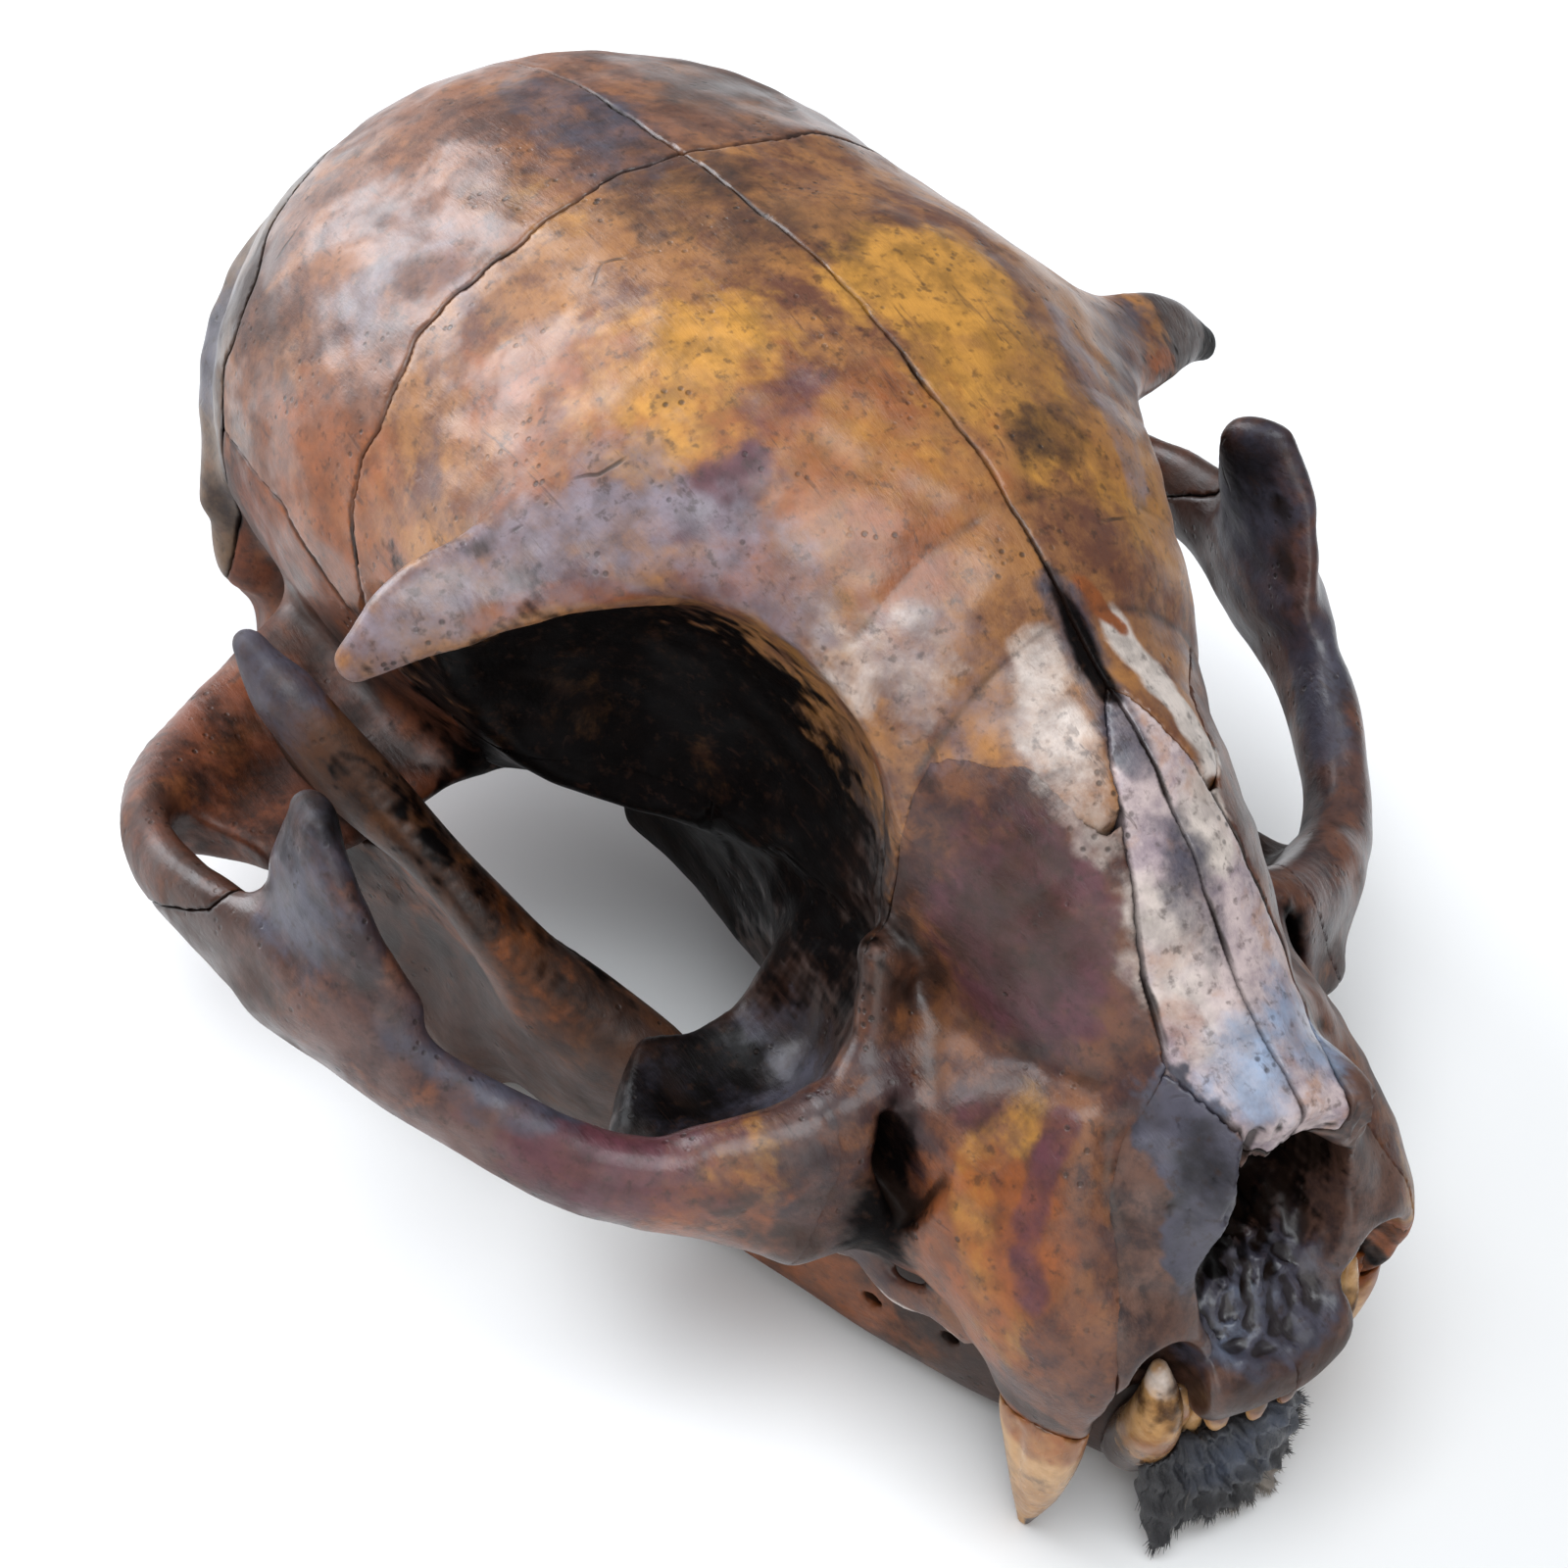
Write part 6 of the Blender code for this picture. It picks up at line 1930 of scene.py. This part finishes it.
@dataclass
class ChinSkin:
    """The scrap of dried skin below the front of the jaw, wrinkled like a fan, with its short hair.

    Attributes:
        jaw: the lower jaw's shapes, which the skin lies against.
        dresser: what finishes the pieces.
        step: the fineness of its shaping.
        middle: how far back the sheet hangs along x.
        lean: how much farther back it is for each millimetre up, along x.
        left_edge: the x of its end on the skull's left, by height.
        right_edge: the x of its end on the skull's right, by height.
        top: the height of its upper edge along x.
        torn_edge: the height of its lower edge along x.
        half_thickness: half its thickness where it isn't worn thin.
        fan: the x and z that the wrinkles and hairs spread from.
        atlas: how many millimetres of skin one side of the hairs' colour map holds.
        patch: the side of each hair's patch on that map.
    """

    jaw: JawShape
    dresser: Dresser
    step: float = 0.12
    middle: Line = ((-6.5, 1.0), (-5.2, 0.2), (-3.5, -0.2), (0, -0.4), (2.4, -0.1), (4.2, 0.7),
                    (6, 2))
    lean: Line = ((-6, 0.34), (-3, 0.22), (0, 0.1), (4, 0.12))
    left_edge: Line = ((-10.5, 3.0), (-9.6, 3.2), (-8, 3.9), (-6, 4.1), (-4, 3.8), (-2.6, 3.0),
                       (-1, 2.2))
    right_edge: Line = ((-10.5, -5.35), (-8, -5.7), (-5.5, -5.9), (-3.5, -6.0), (-1, -5.5))
    top: Line = ((-6.5, -3.6), (-4, -2.7), (-1, -1.9), (2, -2.0), (4, -3.2))
    torn_edge: Line = ((-7, -8.6), (-5.6, -9.4), (-5.3, -10.3), (-4.9, -9.2), (-3.9, -9.0),
                       (-3.5, -8.6), (-2.9, -8.5), (-2.2, -9.0), (-1.2, -9.1), (-0.6, -9.5),
                       (0.3, -9.3), (0.9, -9.5), (1.5, -9.0), (2.1, -10.2), (2.6, -10.0),
                       (3.1, -8.9), (3.6, -8.3), (4.1, -6.8), (6, -5))
    half_thickness: float = 0.42
    fan: tuple[float, float] = (-4.8, 2.5)
    atlas: float = 30.0
    patch: float = 0.003

    def shell(self) -> tuple[Mass, Shell]:
        """Return the skin's field and surface."""
        mass = Mass(self.step, (-8.0, -3.5, -12.5), (7.5, 7.0, 0.0))
        x, y, z = mass.coordinates()
        middle, lean = level_at(x, self.middle), level_at(x, self.lean)
        left_edge, right_edge = level_at(z, self.left_edge), level_at(z, self.right_edge)
        top, torn_edge = level_at(x, self.top), level_at(x, self.torn_edge)
        turn = np.arctan2(x - self.fan[0], self.fan[1] - z)
        wander = 1.6 * np.sin(0.9 * z + 0.6 * x) + 0.7 * np.sin(2.3 * z - 1.1 * x)
        folds = np.sin(64 * turn + wander) * (0.6 + 0.4 * np.sin(23 * turn + 0.5 * wander))
        lumps = np.sin(1.7 * x + 1.3 * z) * np.sin(1.9 * z - 0.8 * x)
        edge = torn_edge + 0.12 * np.sin(7.0 * x) + 0.1 * np.sin(17.0 * x + 1)
        sheet = y - middle - lean * (z + 9) + 0.22 * folds + 0.3 * lumps
        taper = self.half_thickness * (0.35 + 0.65 * np.clip((z - edge) / 2.5, 0, 1))
        field = np.abs(sheet) - taper
        for limit in (x - left_edge, right_edge - x, z - top, (edge - z) * 0.8):
            field = smooth_maximum(field, limit + 0 * y, 0.3)
        mass.field = field.astype(np.float32)
        mass.keep_clear_of_half(self.jaw.mandible, 0.12)
        mass.keep_clear_of_half(self.jaw.lower_canine, 0.1)
        return mass, Shell.around(mass.field, mass.first, mass.step)

    def hair_guides(self, skin: bpy.types.Object, mass: Mass, shell: Shell) -> None:
        """Write onto the skin where hair grows, which way, and its place on the colour map."""
        normal = unit(mass.slope(shell.points, 0.3))
        x, y, z = shell.points.T
        way = unit(np.stack([x - self.fan[0], 0 * y, z - self.fan[1]], 1)) + 0.16 * normal
        edge = np.interp(x, *np.array(self.torn_edge).T)
        low = StainAndPaintedLightPainter.fade(np.minimum(z - edge, (4.1 - x) * 0.9), 0.1, 0.9)
        grows = (0.02 + 0.98 * low) * (normal[:, 1] < 0.4)
        shift = np.where(normal[:, 1] < 0, 0.0, 0.5)
        root = np.stack([shift + (x + 8) / self.atlas * 0.9, (z + 12.5) / self.atlas * 2, 0 * z], 1)
        for name, kind, values in (("fringe", "FLOAT", grows), ("way", "FLOAT_VECTOR", way),
                                   ("root", "FLOAT_VECTOR", root)):
            attribute = skin.data.attributes.new(name, kind, "POINT")
            attribute.data.foreach_set("value" if kind == "FLOAT" else "vector",
                                       values.astype(np.float32).ravel())

    def tree(self) -> GrowthSheet:
        """Return the tree that grows hairs on the skin."""
        sheet = GrowthSheet("fringe", {"Density": Sockets.NUMBER, "Length": Sockets.NUMBER,
                                       "Thickness": Sockets.NUMBER, "Seed": Sockets.WHOLE})
        given = sheet.given
        scatter = sheet.node("GeometryNodeDistributePointsOnFaces",
                             {"Mesh": given["Geometry"], "Seed": given["Seed"],
                              "Density": sheet.times(given["Density"], sheet.named("fringe"))})
        hair = sheet.node("GeometryNodeMeshCone", {"Vertices": 3, "Side Segments": 2,
                                                   "Radius Top": 0.2, "Radius Bottom": 1.0,
                                                   "Depth": 1.0})
        place = sheet.node("ShaderNodeSeparateXYZ",
                           {0: sheet.node("GeometryNodeInputPosition").outputs[0]})
        local = sheet.triple(sheet.times(place.outputs[0], self.patch / 2),
                             sheet.times(place.outputs[2], self.patch), 0.0)
        marked = sheet.node("GeometryNodeStoreNamedAttribute",
                            {"Geometry": hair.outputs["Mesh"], "Name": "local", "Value": local},
                            data_type="FLOAT_VECTOR", domain="POINT")
        stray = sheet.triple(*(sheet.random(-0.22, 0.22, seed) for seed in (1, 2, 3)))
        way = sheet.node("ShaderNodeVectorMath", {0: sheet.named("way", "FLOAT_VECTOR"), 1: stray})
        turn = sheet.node("FunctionNodeAlignRotationToVector", {"Vector": way.outputs[0]}, axis="Z")
        length = sheet.times(given["Length"], sheet.random(0.35, 1.0, 4))
        hairs = sheet.node("GeometryNodeInstanceOnPoints",
                           {"Points": scatter.outputs["Points"], "Instance": marked.outputs[0],
                            "Rotation": turn.outputs[0],
                            "Scale": sheet.triple(given["Thickness"], given["Thickness"], length)})
        real = sheet.node("GeometryNodeRealizeInstances", {0: hairs.outputs[0]})
        spot = sheet.node("ShaderNodeVectorMath", {0: sheet.named("root", "FLOAT_VECTOR"),
                                                   1: sheet.named("local", "FLOAT_VECTOR")})
        mapped = sheet.node("GeometryNodeStoreNamedAttribute",
                            {"Geometry": real.outputs[0], "Name": "OFBake",
                             "Value": spot.outputs[0]},
                            data_type="FLOAT2", domain="CORNER")
        sheet.finish(mapped.outputs[0], self.dresser.material(SKIN_FINISH))
        return sheet

    def build(self) -> None:
        """Build the skin and its hair."""
        mass, shell = self.shell()
        skin = shell.to_object("dried_skin")
        self.dresser.paint(skin, shell, np.full(len(shell.points), NO_SEAM),
                           mass.bulge(shell.points, 0.3))
        self.hair_guides(skin, mass, shell)
        hair = self.tree().grow(skin, "dried_skin_hair", Density=60.0 / MM ** 2, Length=0.95 * MM,
                                Thickness=0.035 * MM, Seed=SEED)
        for name in ("fringe", "way", "root"):
            skin.data.attributes.remove(skin.data.attributes[name])
        self.dresser.dress(skin, SKIN_FINISH, "chin_skin", "chin_skin")
        self.dresser.dress(hair, SKIN_FINISH, "chin_skin")


# ---------------------------------------------------------------- the studio


@dataclass(frozen=True)
class Lamp:
    """A soft square lamp that faces the skull, in metres and watts."""

    name: str
    place: Point
    size: float
    power: float
    colour: Point = (1.0, 1.0, 1.0)


@dataclass
class Studio:
    """The pale floor, the soft lights and the camera."""

    eye: Point = (-88.2, -51.4, 135.6)
    right: Point = (0.807, -0.577, 0.127)
    up: Point = (0.346, 0.636, 0.690)
    lens: float = 76.43
    floor_size: float = 4.0
    floor_tone: str = "f4f4f4"
    sky: tuple[float, float] = (0.9, 0.30)
    lamps: tuple[Lamp, ...] = (
        Lamp("window", (-0.22, 0.55, 0.30), 0.45, 4.8, (0.92, 0.95, 1.0)),
        Lamp("overhead", (-0.15, -0.05, 0.60), 0.45, 3.5, (0.93, 0.97, 1.0)),
        Lamp("front", (-0.35, -0.40, 0.25), 0.40, 0.9, (1.0, 0.98, 0.95)),
    )

    def build(self) -> None:
        """Build the whole studio."""
        self.floor()
        self.light()
        self.camera()

    def floor(self) -> None:
        """Lay the floor."""
        half = self.floor_size / 2
        mesh = bpy.data.meshes.new("floor")
        corners = [(-half, -half, 0), (half, -half, 0), (half, half, 0), (-half, half, 0)]
        mesh.from_pydata(corners, [], [(0, 1, 2, 3)])
        floor = in_scene("floor", mesh)
        sheet = MaterialSheet("pale floor")
        light = linear(self.floor_tone)
        dark = tuple(0.97 * share for share in light[:3]) + (1.0,)
        colour = sheet.mix(sheet.noise(sheet.place, 30.0, 3, 0.5), light, dark)
        mesh.materials.append(sheet.shaded({"Base Color": colour, "Roughness": 0.9}))

    def light(self) -> None:
        """Set the sky and the lamps."""
        world = bpy.data.worlds.new("studio")
        bpy.context.scene.world = world
        world.use_nodes = True
        background = world.node_tree.nodes["Background"]
        background.inputs["Color"].default_value = (self.sky[0], self.sky[0], self.sky[0] * 1.03, 1)
        background.inputs["Strength"].default_value = self.sky[1]
        for lamp in self.lamps:
            data = bpy.data.lights.new(lamp.name, "AREA")
            data.size, data.energy, data.color = lamp.size, lamp.power, lamp.colour
            obj = in_scene(lamp.name, data)
            obj.location = lamp.place
            toward = Vector((0, 0, 0.02)) - Vector(lamp.place)
            obj.rotation_euler = toward.to_track_quat("-Z", "Y").to_euler()

    def camera(self) -> None:
        """Set the camera at the photograph's viewpoint."""
        data = bpy.data.cameras.new("camera")
        data.lens, data.sensor_width = self.lens, 36.0
        data.clip_start, data.clip_end = 0.01, 10.0
        camera = in_scene("camera", data)
        right, up = Vector(self.right).normalized(), Vector(self.up)
        back = right.cross(up).normalized()
        up = back.cross(right)
        turn = Matrix((right, up, back)).transposed().to_4x4()
        eye = (Vector(self.eye) - Vector(ORIGIN)) * MM
        camera.matrix_world = Matrix.Translation(eye) @ turn
        bpy.context.scene.camera = camera


def main() -> None:
    """Build the skull, dress it and light it."""
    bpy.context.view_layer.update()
    skull = SkullShape(STEP)
    log.info("upper skull shaped")
    jaw = JawShape(skull)
    log.info("lower jaw shaped")
    dresser = Dresser(StainAndPaintedLightPainter(skull.scored))
    UpperSkull(skull, dresser).build()
    LowerJaw(jaw, dresser).build()
    ToothRows(dresser).build()
    ChinSkin(jaw, dresser).build()
    Studio().build()
    bpy.context.scene.view_settings.view_transform = "Standard"


if __name__ == "__main__":
    main()
